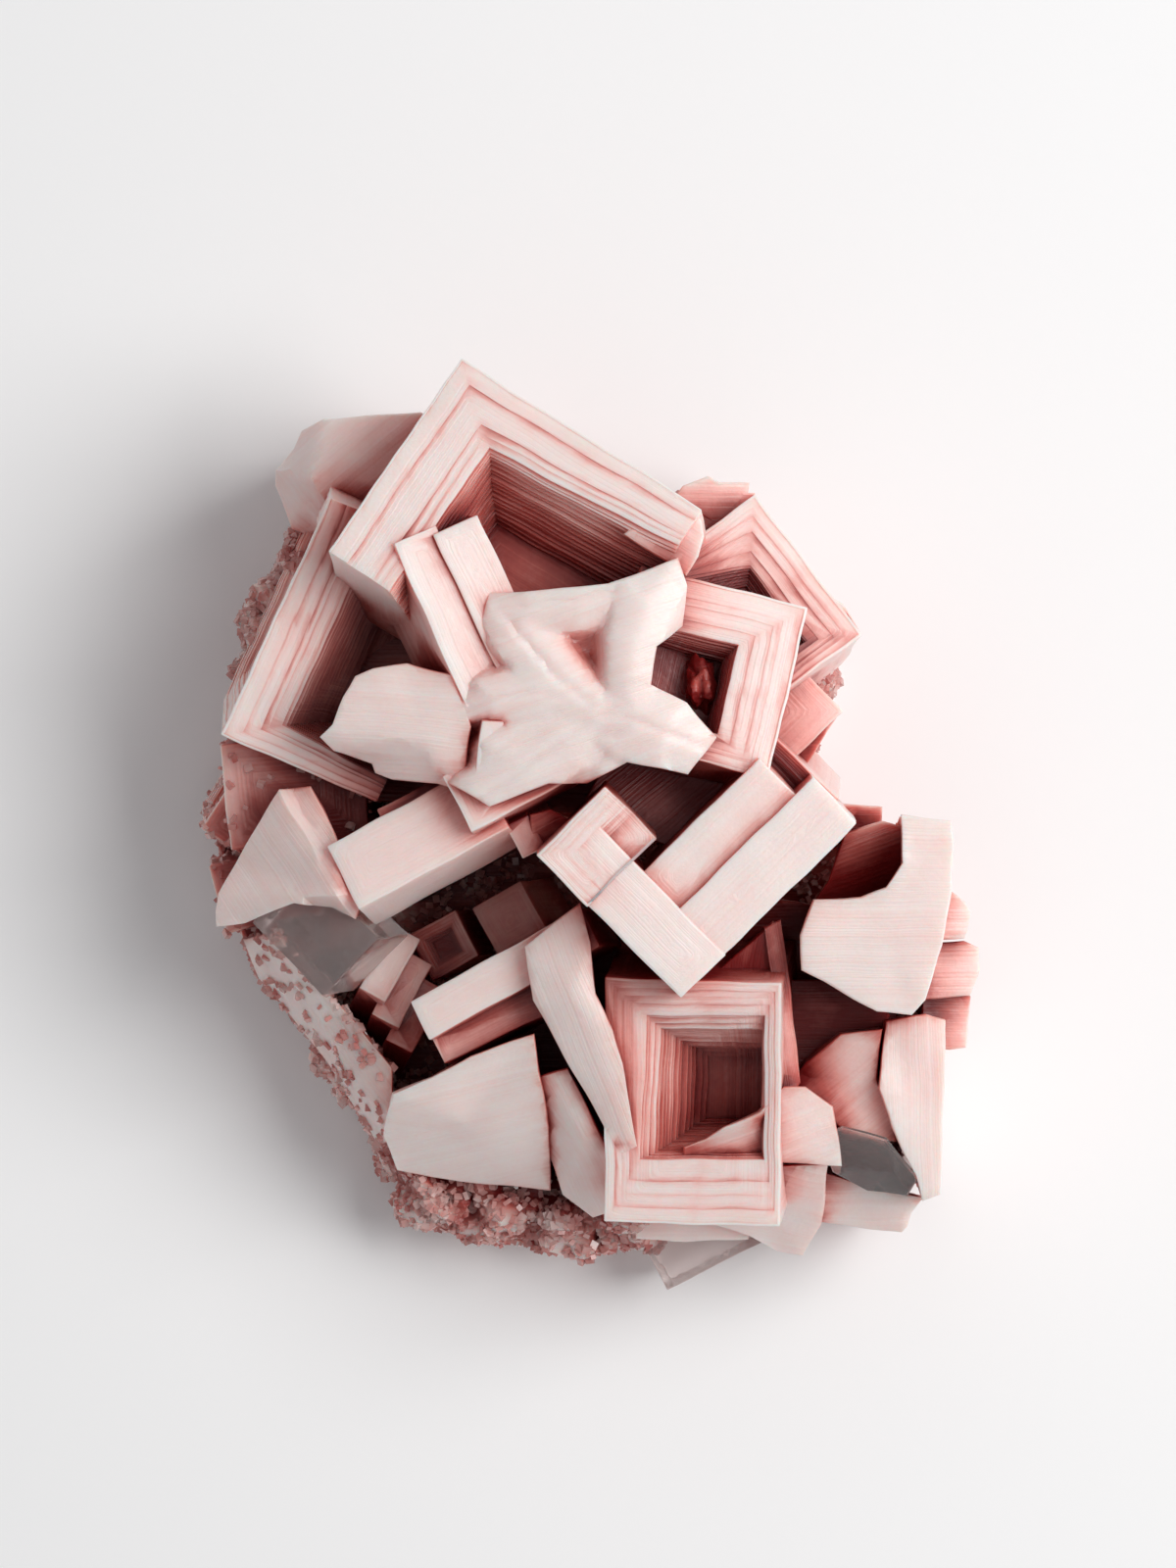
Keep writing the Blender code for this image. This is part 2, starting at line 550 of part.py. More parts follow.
def right_crystals(group):
    """The open V of two beams, the pale block on the right and the smooth blocks below it."""
    v_corner = (7.8, -14.4, 36.0)
    v_rises = (2.0, 2.0)
    right_beam = crystal(
        group, v_corner, 44.5, v_rises, 1, (20.8, 5.4, 16.0),
        [("first", square(3.0, 18.5, 3.0, 13.0), square(6.0, 15.5, 5.5, 10.5), 2.2, 3)],
    )
    treads = [
        crystal(
            group, v_corner, 44.5, v_rises, 1, (14.2 - 0.9 * i, 4.6 - 1.0 * i, 12.0),
            start=(4.6, 5.1 + 1.0 * i, 0.7 * (i + 1)),
        )
        for i in range(4)
    ]
    left_beam = crystal(
        group, v_corner, 44.5, v_rises, 1, (5.3, 17.0, 13.0),
        [("second", square(3.0, 14.0, 3.0, 11.0), square(6.0, 11.5, 5.0, 9.0), 1.0, 2)],
        start=(-0.12, -0.12, -0.12),
    )
    beam_block = crystal(
        group, v_corner, 44.5, v_rises, 1, (8.2, 6.2, 9.0),
        [("top", square(3.0, 9.0, -1.0, 3.8), square(4.2, 9.0, -1.0, 2.6), 0.9, 2)],
        start=(-0.25, 10.9, -0.3),
    )
    middle_face = block(
        group, [(10.4, -12.9, 26.4), (15.8, -8.1, 28.4), (16.4, -13.4, 27.0), (13.0, -14.5, 26.0)],
        12.0, inset=0.3,
    )
    tall_bar = block(
        group, [(15.0, -8.6, 28.4), (16.4, -8.0, 28.4), (17.2, -14.0, 27.6), (18.0, -21.9, 26.4),
            (16.5, -24.0, 26.4), (15.9, -16.0, 27.4)],
        10.0, inset=0.2,
    )
    pale_block = block(
        group,
        [
            (19.0, -6.3, 32.2), (17.9, -9.3, 32.0), (18.0, -12.2, 31.2), (19.9, -13.2, 31.0),
            (22.4, -14.7, 31.0),
            (24.4, -15.8, 31.0), (27.3, -16.0, 31.0), (28.5, -14.7, 31.6), (29.9, -10.1, 32.2),
            (30.6, -5.6, 32.6), (30.9, -1.5, 33.0), (30.7, 0.4, 33.0), (26.4, 0.9, 33.2),
            (26.6, -3.1, 33.0),
            (25.2, -5.2, 32.6), (23.1, -6.0, 32.4),
        ],
        12.0, inset=1.0,
    )
    pale_recess = block(
        group,
        [
            (20.4, -4.8, 26.0), (21.7, -0.6, 29.0), (24.9, 0.3, 29.4), (27.0, -0.2, 29.4),
            (27.0, -5.6, 25.0),
            (19.1, -6.9, 24.0),
        ],
        10.0,
    )
    pale_back = block(
        group, [(21.1, 2.0, 24.0), (21.9, 1.8, 24.4), (25.0, 1.6, 24.4), (25.0, -0.3, 24.0),
            (20.9, -0.7, 24.0)],
        4.0,
    )
    edge_cubes = [
        block(
            group,
            [(29.0, -5.2, 25.4), (31.0, -5.7, 25.4), (32.1, -6.5, 25.0), (32.6, -7.5, 24.4),
                (32.0, -9.7, 24.4), (29.0, -9.8, 25.4)],
            9.0, inset=1.6,
        ),
        block(
            group,
            [(28.6, -10.0, 23.4), (32.0, -9.9, 23.0), (33.3, -10.5, 22.4), (33.5, -12.4, 22.4),
                (32.6, -14.5, 22.4), (28.6, -14.9, 23.4)],
            6.0, inset=1.6,
        ),
        block(
            group,
            [(28.7, -14.2, 20.0), (32.7, -14.6, 19.6), (32.4, -19.1, 19.2), (30.9, -19.3, 19.2),
                (28.3, -19.0, 20.0)],
            5.0, inset=1.2,
        ),
    ]
    lower_block = block(
        group,
        [
            (25.2, -16.6, 27.0), (28.7, -16.0, 27.6), (30.4, -16.5, 27.0), (30.3, -20.6, 26.6),
            (30.0, -31.4, 24.2),
            (28.5, -32.0, 24.0), (27.9, -29.9, 24.6), (25.8, -25.6, 26.0), (24.7, -22.3, 27.0),
        ],
        2.0, inset=1.0,
    )
    smooth_plate = block(
        group,
        [
            (17.9, -21.1, 23.4), (18.5, -20.2, 24.4), (21.5, -17.7, 26.6), (24.9, -17.3, 27.4),
            (24.6, -21.5, 26.0),
            (26.3, -26.9, 24.2), (21.7, -26.1, 24.0), (19.6, -24.0, 24.6), (17.9, -22.5, 24.0),
        ],
        6.0,
    )
    dark_shelf = block(
        group,
        [(17.0, -13.2, 20.0), (20.1, -13.2, 20.0), (25.8, -16.2, 21.4), (25.5, -18.3, 21.0),
            (20.9, -19.1, 20.0), (16.8, -21.6, 20.0)],
        6.0,
    )
    cracked_top = block(
        group,
        [
            (19.6, -26.5, 25.4), (21.6, -25.6, 26.0), (25.4, -26.5, 26.0), (28.1, -29.9, 24.4),
            (27.2, -31.6, 22.6),
            (23.8, -31.2, 22.4), (20.9, -29.5, 24.0),
        ],
        8.0, inset=1.0, peak=(23.4, -28.2, 25.6),
    )
    low_block = block(
        group,
        [
            (20.0, -29.6, 20.6), (23.9, -30.9, 20.4), (28.7, -31.9, 19.2), (27.7, -33.4, 18.0),
            (27.4, -34.5, 17.4),
            (26.9, -35.0, 16.8), (20.0, -34.1, 16.6),
        ],
        3.0, inset=1.6,
    )
    return [
        right_beam, *treads, left_beam, beam_block, middle_face, tall_bar, pale_block, pale_recess,
        pale_back, *edge_cubes,
        lower_block, smooth_plate, dark_shelf, cracked_top, low_block,
    ]


def crust(group):
    """The crust of salt grains that everything grew on, broken off flat underneath."""
    plate_outline = [
        (-30.6, -9.4), (-28.2, -13.2), (-25.0, -16.5), (-21.3, -22.3), (-18.3, -27.3), (-16.7, -30.3),
        (-15.2, -33.2), (-14.2, -34.7), (-10.0, -35.8), (-6.7, -36.3), (-4.2, -37.0), (-1.7, -36.4),
        (3.3, -36.7), (8.3, -35.6), (15.8, -34.6), (21.7, -33.0), (27.0, -30.0), (29.2, -21.5),
        (30.2, -13.2), (28.8, -4.8), (23.3, -0.7), (19.2, 3.5), (19.6, 8.5), (20.6, 15.0), (17.5, 20.5),
        (12.5, 25.6), (4.2, 28.2), (-3.3, 32.2), (-10.8, 35.2), (-16.7, 33.8), (-22.8, 32.4),
        (-25.2, 28.5), (-25.8, 23.5), (-28.2, 18.5), (-29.8, 12.7), (-31.0, 7.7), (-31.5, 2.7),
        (-32.6, -0.7), (-31.9, -4.8),
    ]
    plate_top = [(x, y, CRUST_DEPTH) for x, y in plate_outline]
    plate_waist = [(x, y, CRUST_DEPTH * 0.4) for x, y in drawn_in(plate_outline, CRUST_INSET * 0.4)]
    plate_foot = [(x, y, 0.0) for x, y in drawn_in(plate_outline, CRUST_INSET)]
    plate = loft([plate_top, plate_waist, plate_foot], group)
    knots = [
        ((-26.2, 17.0, 9.0), (3.4, 4.2, 6.5)),
        ((-27.2, 12.0, 9.0), (3.0, 3.8, 8.0)),
        ((-24.0, 22.5, 9.0), (2.6, 4.0, 8.0)),
        ((-25.6, -11.0, 7.0), (3.2, 3.8, 4.6)),
        ((-20.0, -19.5, 7.0), (3.6, 4.2, 5.0)),
        ((-15.2, -26.5, 6.5), (3.4, 4.0, 5.4)),
        ((-13.0, -31.5, 6.0), (3.8, 3.6, 6.4)),
        ((-7.5, -32.6, 6.5), (4.6, 3.4, 6.4)),
        ((-1.0, -33.2, 6.5), (4.8, 3.6, 6.6)),
        ((3.5, -33.0, 7.5), (4.0, 3.6, 6.4)),
        ((17.0, 12.0, 6.5), (4.0, 6.0, 6.5)),
        ((9.0, 23.0, 6.5), (5.5, 4.6, 7.0)),
        ((-16.0, 29.5, 6.0), (6.5, 4.6, 6.0)),
    ]
    lumps = [lump(group, centre, radii, seed) for seed, (centre, radii) in enumerate(knots)]
    inner_mass = block(
        group,
        [
            (-22.0, 8.0, 17.0), (-20.0, 22.0, 17.0), (-8.0, 27.0, 17.0), (8.0, 22.0, 20.0),
            (16.0, 8.0, 20.0),
            (8.0, -1.0, 22.0), (-4.0, 1.0, 20.0), (-18.0, 2.0, 18.0),
        ],
        2.0,
    )
    front_mass = block(
        group,
        [
            (1.0, -8.0, 17.0), (14.0, -6.0, 19.0), (27.0, -8.0, 17.0), (26.0, -27.0, 14.0),
            (12.0, -32.0, 12.0),
            (2.0, -30.0, 14.0), (-8.0, -28.0, 13.0), (-13.0, -24.0, 14.0), (-6.0, -18.0, 15.0),
        ],
        2.0,
    )
    back_valley = block(
        group, [(2.0, 6.0, 25.0), (14.0, 8.0, 26.0), (19.0, 1.0, 25.0), (10.0, -3.0, 26.0),
            (-1.0, 1.0, 26.0)], 10.0,
    )
    return [plate, *lumps, inner_mass, front_mass, back_valley]


def cut_flat(solid, group):
    """Cuts away whatever hangs below the flat underside."""
    bm = bmesh.new()
    bmesh.ops.create_cube(bm, size=200.0)
    bmesh.ops.translate(bm, vec=(0.0, 0.0, -100.0), verts=bm.verts)
    combine(solid, as_object(bm, "underside_cutter", group), "DIFFERENCE")


def shells(bm):
    """The separate closed shells of a mesh, each as a set of faces."""
    waiting = set(bm.faces)
    found = []
    while waiting:
        shell = set()
        frontier = [waiting.pop()]
        while frontier:
            face = frontier.pop()
            shell.add(face)
            for edge in face.edges:
                for neighbour in edge.link_faces:
                    if neighbour in waiting:
                        waiting.remove(neighbour)
                        frontier.append(neighbour)
        found.append(shell)
    return found


def fill_pockets(solid):
    """Fills the pockets that the crystals seal between them: only the outermost shell stays."""
    bm = bmesh.new()
    bm.from_mesh(solid.data)
    inner = sorted(shells(bm), key=len)[:-1]
    bmesh.ops.delete(bm, geom=[face for shell in inner for face in shell], context="FACES")
    bmesh.ops.delete(bm, geom=[vert for vert in bm.verts if not vert.link_faces], context="VERTS")
    bm.to_mesh(solid.data)
    bm.free()


def halite_material():
    material = bpy.data.materials.new("pink_halite")
    material.use_nodes = True
    shader = material.node_tree.nodes["Principled BSDF"]
    shader.inputs["Base Color"].default_value = HALITE_PINK
    shader.inputs["Roughness"].default_value = HALITE_ROUGHNESS
    shader.inputs["Metallic"].default_value = 0.0
    return material


def main():
    clear_scene()
    finished = new_collection("halite_cluster")
    tools = new_collection("cutters")
    crystals = crust(tools)
    for group in (left_crystals, front_crystals, right_crystals, right_back_crystals, upper_crystals, star):
        crystals += group(tools)
    cluster = crystals[0]
    for grown in crystals[1:]:
        combine(cluster, grown, "UNION")
    cut_flat(cluster, tools)
    fill_pockets(cluster)
    cluster.data.transform(Matrix.Scale(MILLIMETRE, 4))
    cluster.name = "halite_cluster"
    cluster.data.name = "halite_cluster"
    tools.objects.unlink(cluster)
    finished.objects.link(cluster)
    cluster.data.materials.clear()
    cluster.data.materials.append(halite_material())


main()
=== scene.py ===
"""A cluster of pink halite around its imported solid: hopper cubes grown through each other round a star of
leaf-like blades, clear broken chips and a crust of salt grains, on a pale floor in soft light from the right.

The crystals are laid out in millimetres, seen from above: X to the right, Y away, Z up from the flat underside.
"""

import math

import bmesh
import bpy
import numpy as np
from mathutils import Matrix, Vector, geometry, noise
from mathutils.bvhtree import BVHTree


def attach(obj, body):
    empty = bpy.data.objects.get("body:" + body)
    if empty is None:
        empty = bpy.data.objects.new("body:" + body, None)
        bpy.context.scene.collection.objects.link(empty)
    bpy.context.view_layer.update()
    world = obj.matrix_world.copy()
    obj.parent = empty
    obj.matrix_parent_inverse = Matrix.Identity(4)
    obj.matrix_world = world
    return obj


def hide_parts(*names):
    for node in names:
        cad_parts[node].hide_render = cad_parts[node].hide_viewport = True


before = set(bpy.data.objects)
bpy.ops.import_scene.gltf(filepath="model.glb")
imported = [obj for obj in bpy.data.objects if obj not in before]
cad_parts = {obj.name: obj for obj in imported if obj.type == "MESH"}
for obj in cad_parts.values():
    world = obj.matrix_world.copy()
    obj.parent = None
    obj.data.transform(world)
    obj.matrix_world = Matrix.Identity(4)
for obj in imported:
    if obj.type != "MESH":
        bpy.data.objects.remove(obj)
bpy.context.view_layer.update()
MILLIMETRE = 0.001

# The photographer's place: a long lens nearly a metre above the cluster, looking straight down. The frame is
# 1200 by 1600, and 12 of its pixels cover a millimetre at the height of the cluster's middle.
LENS = 250.0
FILM_HEIGHT = 36.0
CAMERA_PLACE = (0.0, 0.0035, 0.9509)

camera = bpy.data.objects.new("camera", bpy.data.cameras.new("camera"))
camera.data.lens = LENS
camera.data.sensor_fit = "VERTICAL"
camera.data.sensor_height = FILM_HEIGHT
camera.location = CAMERA_PLACE
bpy.context.scene.collection.objects.link(camera)
bpy.context.scene.camera = camera

# The table: a matt white sheet under one large soft lamp on the right, whose light is low enough to lay a soft
# grey shadow on the left, with white walls all round that fill the shadows.
FLOOR_HALF = 2.0
FLOOR_WHITE = (0.94, 0.94, 0.945, 1.0)
LAMP_PLACE = (0.40, 0.10, 0.56)
LAMP_SIZE = 0.42
LAMP_POWER = 3.9
LAMP_COLOUR = (1.0, 0.985, 0.97)
ROOM_WHITE = (0.96, 0.98, 1.0, 1.0)
ROOM_LIGHT = 0.36

floor_mesh = bpy.data.meshes.new("floor")
floor_corners = [(-FLOOR_HALF, -FLOOR_HALF, 0.0), (FLOOR_HALF, -FLOOR_HALF, 0.0), (FLOOR_HALF, FLOOR_HALF, 0.0), (-FLOOR_HALF, FLOOR_HALF, 0.0)]
floor_mesh.from_pydata(floor_corners, [], [(0, 1, 2, 3)])
floor = bpy.data.objects.new("floor", floor_mesh)
bpy.context.scene.collection.objects.link(floor)
floor_paint = bpy.data.materials.new("matt_white_sheet")
floor_paint.use_nodes = True
floor_paint.node_tree.nodes["Principled BSDF"].inputs["Base Color"].default_value = FLOOR_WHITE
floor_paint.node_tree.nodes["Principled BSDF"].inputs["Roughness"].default_value = 0.9
floor_mesh.materials.append(floor_paint)

lamp = bpy.data.objects.new("lamp", bpy.data.lights.new("lamp", "AREA"))
lamp.data.size = LAMP_SIZE
lamp.data.energy = LAMP_POWER
lamp.data.color = LAMP_COLOUR
lamp.location = LAMP_PLACE
lamp.rotation_euler = (Vector((0.0, 0.0, 0.02)) - lamp.location).to_track_quat("-Z", "Y").to_euler()
bpy.context.scene.collection.objects.link(lamp)
room = bpy.data.worlds.new("white_room")
room.use_nodes = True
room.node_tree.nodes["Background"].inputs["Color"].default_value = ROOM_WHITE
room.node_tree.nodes["Background"].inputs["Strength"].default_value = ROOM_LIGHT
bpy.context.scene.world = room
bpy.context.scene.view_settings.view_transform = "Standard"

# The salt crust: a plate of caked salt grains that everything grew on, broken off flat underneath, with knots of
# grains along its edge. Like every crystal it is a closed solid, and all of them are joined into one at the end.
CRUST_DEPTH = 6.0
CRUST_INSET = 1.6
GRAIN_SWELL = 0.22
CRUST_TONE_AND_SHADE = 0.85
EDGE_WEAR = 0.14  # how wide the worn edge of a crystal is

# A solid's tone feeds the colour ramp. It is partly the solid's own depth of colour and partly painted shade: the
# solids that lie low, in the cavern and under the others, get darker tones.
grown = []  # one entry for each solid: its object, its growth lines, its tone and how much loose salt lies on it


def stripes(heading):
    """Growth lines that run along a compass heading, and level round the steep faces."""
    turn = math.radians(heading)
    across = np.array((-math.sin(turn), math.cos(turn), 0.0))

    def lines(points, normals):
        return np.where(np.abs(normals[:, 2]) > 0.5, points @ across, points[:, 2])

    return lines


def as_solid(bm, lines, tone, salt=0.0):
    """Turns a closed bmesh into a solid of the cluster, with its faces pointing out."""
    bmesh.ops.recalc_face_normals(bm, faces=bm.faces)
    bmesh.ops.triangulate(bm, faces=bm.faces)
    mesh = bpy.data.meshes.new("growth")
    bm.to_mesh(mesh)
    bm.free()
    solid = bpy.data.objects.new("growth", mesh)
    bpy.context.scene.collection.objects.link(solid)
    grown.append((solid, lines, tone, salt))
    return solid


def loft(rings):
    """A closed bmesh through rings of points."""
    bm = bmesh.new()
    rows = [[bm.verts.new(point) for point in ring] for ring in rings]
    for upper, lower in zip(rows, rows[1:]):
        for i in range(len(upper)):
            bm.faces.new((upper[i], upper[i - 1], lower[i - 1], lower[i]))
    bm.faces.new(rows[0])
    bm.faces.new(rows[-1])
    return bm


def divided(corners, spacing):
    """The points along a closed outline, no further apart than the spacing."""
    points = []
    for a, b in zip(corners, corners[1:] + corners[:1]):
        pieces = max(1, math.ceil((b - a).length / spacing))
        points += [a.lerp(b, k / pieces) for k in range(pieces)]
    return points


def drawn_in(points, inset):
    """Points moved level towards their middle by the inset."""
    middle = sum(points, Vector()) / len(points)
    moved = []
    for point in points:
        inward = Vector((middle.x - point.x, middle.y - point.y, 0.0))
        moved.append(point + inward.normalized() * inset)
    return moved


def lump(centre, radii, seed, tone=CRUST_TONE_AND_SHADE, salt=1.0):
    """A rounded knot of salt grains."""
    bm = bmesh.new()
    bmesh.ops.create_icosphere(bm, subdivisions=4, radius=1.0)
    for vert in bm.verts:
        shift = Vector((seed * 3.1, seed * 1.7, 0.0))
        swell = noise.noise(vert.co * 1.7 + shift) * 2.0 + noise.noise(vert.co * 4.6 + shift) * 0.7
        vert.co *= 1.0 + GRAIN_SWELL * swell
        vert.co = Vector([a * b for a, b in zip(vert.co, radii)]) + Vector(centre)
    return as_solid(bm, stripes(0.0), tone, salt)


plate_outline = [
    (-30.6, -9.4), (-28.2, -13.2), (-25.0, -16.5), (-21.3, -22.3), (-18.3, -27.3), (-16.7, -30.3),
    (-15.2, -33.2), (-14.2, -34.7), (-10.0, -35.8), (-6.7, -36.3), (-4.2, -37.0), (-1.7, -36.4),
    (3.3, -36.7), (8.3, -35.6), (15.8, -34.6), (21.7, -33.0), (27.0, -30.0), (29.2, -21.5),
    (30.2, -13.2), (28.8, -4.8), (23.3, -0.7), (19.2, 3.5), (19.6, 8.5), (20.6, 15.0), (17.5, 20.5),
    (12.5, 25.6), (4.2, 28.2), (-3.3, 32.2), (-10.8, 35.2), (-16.7, 33.8), (-22.8, 32.4),
    (-25.2, 28.5), (-25.8, 23.5), (-28.2, 18.5), (-29.8, 12.7), (-31.0, 7.7), (-31.5, 2.7),
    (-32.6, -0.7), (-31.9, -4.8),
]
plate_rim = divided([Vector((x, y, 0.0)) for x, y in plate_outline], 1.2)
plate_rings = []
for share in (0.0, 0.12, 0.3, 0.45, 0.62, 0.8, 0.92, 1.0):
    level = CRUST_DEPTH * (1.0 - share)
    ring = drawn_in(plate_rim, CRUST_INSET * (0.3 * (1.0 - share) ** 6 + share))
    knobbly = [point * (1.0 + 0.022 * noise.noise(Vector((point.x, point.y, level * 1.4)) * 0.45)) for point in ring]
    plate_rings.append([(point.x, point.y, level) for point in knobbly])
as_solid(loft(plate_rings), stripes(0.0), CRUST_TONE_AND_SHADE, 1.0)
knots = [
    ((-26.2, 17.0, 9.0), (3.4, 4.2, 6.5)),
    ((-27.2, 12.0, 9.0), (3.0, 3.8, 8.0)),
    ((-24.0, 22.5, 9.0), (2.6, 4.0, 8.0)),
    ((-25.6, -11.0, 7.0), (3.2, 3.8, 4.6)),
    ((-20.0, -19.5, 7.0), (3.6, 4.2, 5.0)),
    ((-15.2, -26.5, 6.5), (3.4, 4.0, 5.4)),
    ((-13.0, -31.5, 6.0), (3.8, 3.6, 6.4)),
    ((-7.5, -32.6, 6.5), (4.6, 3.4, 6.4)),
    ((-1.0, -33.2, 6.5), (4.8, 3.6, 6.6)),
    ((3.5, -33.0, 7.5), (4.0, 3.6, 6.4)),
    ((17.0, 12.0, 6.5), (4.0, 6.0, 6.5)),
    ((9.0, 23.0, 6.5), (5.5, 4.6, 7.0)),
    ((-16.0, 29.5, 6.0), (6.5, 4.6, 6.0)),
]
for seed, (centre, radii) in enumerate(knots):
    lump(centre, radii, seed)

# The masses of crystal under the cluster's skin: blocks of flat facets with stepped sides, which carry the cubes
# above. Each is a wall of uneven ledges round a top that is meshed finely enough to be carved.
LEDGE_SHIFT = 0.16


def inside(points, outline):
    """Which of the points lie inside an outline."""
    found = np.zeros(len(points), bool)
    for a, b in zip(outline, np.roll(outline, -1, axis=0)):
        crosses = (a[1] > points[:, 1]) != (b[1] > points[:, 1])
        with np.errstate(divide="ignore", invalid="ignore"):
            x_there = a[0] + (points[:, 1] - a[1]) * (b[0] - a[0]) / (b[1] - a[1])
        found ^= crosses & (points[:, 0] < x_there)
    return found


def block(top, foot, inset=0.6, peak=None, heading=0.0, tone=0.3, salt=0.0, relief=None, spacing=1.0, ledges=6):
    """A block of flat facets: the corners of its top, each at its own height, down to its foot.

    The facets of the top fan out from its peak or its middle, and relief carves them further.
    """
    corners = [Vector(point) for point in top]
    middle = Vector(peak) if peak else sum(corners, Vector()) / len(corners)
    fan = [(i, (i + 1) % len(corners), len(corners)) for i in range(len(corners))]
    facets = BVHTree.FromPolygons(corners + [middle], fan)
    rim = divided(corners, spacing)
    edge = drawn_in(rim, EDGE_WEAR)
    low = np.array([point[:2] for point in edge])
    rng = np.random.default_rng(len(rim))
    columns = np.arange(low[:, 0].min(), low[:, 0].max(), spacing)
    rows = np.arange(low[:, 1].min(), low[:, 1].max(), spacing * 0.87)
    grid = np.array([(x + (j % 2) * spacing / 2, y) for j, y in enumerate(rows) for x in columns])
    grid += rng.uniform(-0.15, 0.15, grid.shape) * spacing
    grid = grid[inside(grid, low)]
    flat = [Vector(point) for point in low] + [Vector(point) for point in grid]
    verts, _, faces, origins, _, _ = geometry.delaunay_2d_cdt(flat, [], [list(range(len(low)))], 1, 1e-5)
    bm = bmesh.new()
    skin = []
    for vert, origin in zip(verts, origins):
        hit = facets.ray_cast(Vector((vert.x, vert.y, 100.0)), Vector((0.0, 0.0, -1.0)))[0]
        z = hit.z if hit else facets.find_nearest(Vector((vert.x, vert.y, middle.z)))[0].z
        if relief:
            z = relief(vert.x, vert.y, z)
        skin.append(bm.verts.new((vert.x, vert.y, z)))
    for face in faces:
        bm.faces.new([skin[i] for i in face])
    place = {origin[0]: i for i, origin in enumerate(origins) if origin}
    upper = [skin[place[i]] for i in range(len(rim))]
    heights = [vert.co.z - EDGE_WEAR for vert in upper]
    cuts = np.sort(rng.uniform(0.04, 0.96, ledges))
    shifts = np.linspace(0.0, inset, ledges + 1) + rng.uniform(-1.0, 1.0, ledges + 1) * LEDGE_SHIFT
    shifts[0] = 0.0
    rings = [(0.0, 0.0)]
    for cut, before, after in zip(cuts, shifts, shifts[1:]):
        rings += [(cut, before), (cut, after)]
    rings.append((1.0, shifts[-1]))
    for share, shift in rings:
        ring = drawn_in(rim, shift)
        lower = [bm.verts.new((p.x, p.y, z + (foot - z) * share)) for p, z in zip(ring, heights)]
        for i in range(len(upper)):
            bm.faces.new((upper[i], upper[i - 1], lower[i - 1], lower[i]))
        upper = lower
    bm.faces.new(upper)
    return as_solid(bm, stripes(heading), tone, salt)


block(
    [
        (-22.0, 8.0, 17.0), (-20.0, 22.0, 17.0), (-8.0, 27.0, 17.0), (8.0, 22.0, 20.0), (16.0, 8.0, 20.0),
        (8.0, -1.0, 22.0), (-4.0, 1.0, 20.0), (-18.0, 2.0, 18.0),
    ],
    2.0, tone=0.6,
)
block(
    [
        (1.0, -8.0, 17.0), (14.0, -6.0, 19.0), (27.0, -8.0, 17.0), (26.0, -27.0, 14.0), (12.0, -32.0, 12.0),
        (2.0, -30.0, 14.0), (-8.0, -28.0, 13.0), (-13.0, -24.0, 14.0), (-6.0, -18.0, 15.0),
    ],
    2.0, tone=0.6,
)
block([(2.0, 6.0, 25.0), (14.0, 8.0, 26.0), (19.0, 1.0, 25.0), (10.0, -3.0, 26.0), (-1.0, 1.0, 26.0)], 10.0, tone=0.6, heading=40.0)

# The crystals on the left: the long bar and the fan-shaped corner at its end, and what stands in the dark cavern
# below, whose darkness is partly real shade and partly painted shade in the high tones of its crystals. A cube of
# halite grows fastest at its edges, so its faces are hollows of many small steps.
RECESS_MOUTH = 1.5
LIP_FALL = 0.22  # how far the flat rim of a hopper falls towards its hollow
LIP_STEPS = 4


def heading_vector(heading, rise):
    turn = math.radians(heading)
    lift = math.radians(rise)
    return Vector((math.cos(turn) * math.cos(lift), math.sin(turn) * math.cos(lift), math.sin(lift)))


def square(across_from, across_to, along_from, along_to):
    """The four corners of a rectangle in a face's own axes."""
    return [(across_from, along_from), (across_to, along_from), (across_to, along_to), (across_from, along_to)]


def uneven(steps, rng):
    """Shares from 0 to 1 at uneven distances."""
    gaps = 0.35 + rng.random(steps)
    return np.concatenate(([0.0], np.cumsum(gaps) / gaps.sum()))


def hollow_cutter(rim, floor, depth, steps, reach, bend):
    """The stepped hollow of a hopper face, in the face's own axes: a shallow lip, then a flight of small steps.

    rim and floor are four corners each, and a side that runs past the face's reach leaves the hollow open there.
    """
    rng = np.random.default_rng(int(depth * 100) + steps)
    border = [[0.25 if c < r / 2 else (r - 0.25 if c < r else c) for c, r in zip(corner, reach)] for corner in rim]
    treads = []
    for share, fall in zip(uneven(LIP_STEPS, rng)[:-1], uneven(LIP_STEPS, rng)[1:]):
        treads.append(([Vector(a).lerp(Vector(b), share) for a, b in zip(border, rim)], fall * LIP_FALL))
    for share, fall in zip(uneven(steps, rng)[:-1], uneven(steps, rng)[1:]):
        treads.append(([Vector(a).lerp(Vector(b), share) for a, b in zip(rim, floor)], LIP_FALL + fall ** bend * (depth - LIP_FALL)))
    rings = []
    upper = -RECESS_MOUTH
    for outline, lower in treads:
        rings.append([(u, v, upper) for u, v in outline])
        rings.append([(u, v, lower) for u, v in outline])
        upper = lower
    bm = loft(rings)
    bmesh.ops.recalc_face_normals(bm, faces=bm.faces)
    bmesh.ops.triangulate(bm, faces=bm.faces)
    return bm


def joined(base, tool, operation):
    """Joins the tool to the base, or cuts it out, and removes the tool."""
    step = base.modifiers.new("join", "BOOLEAN")
    step.operation = operation
    step.solver = "MANIFOLD"
    step.object = tool
    result = bpy.data.meshes.new_from_object(base.evaluated_get(bpy.context.evaluated_depsgraph_get()))
    base.modifiers.clear()
    spent = [base.data, tool.data]
    base.data = result
    bpy.data.objects.remove(tool, do_unlink=True)
    for mesh in spent:
        bpy.data.meshes.remove(mesh)
    return base


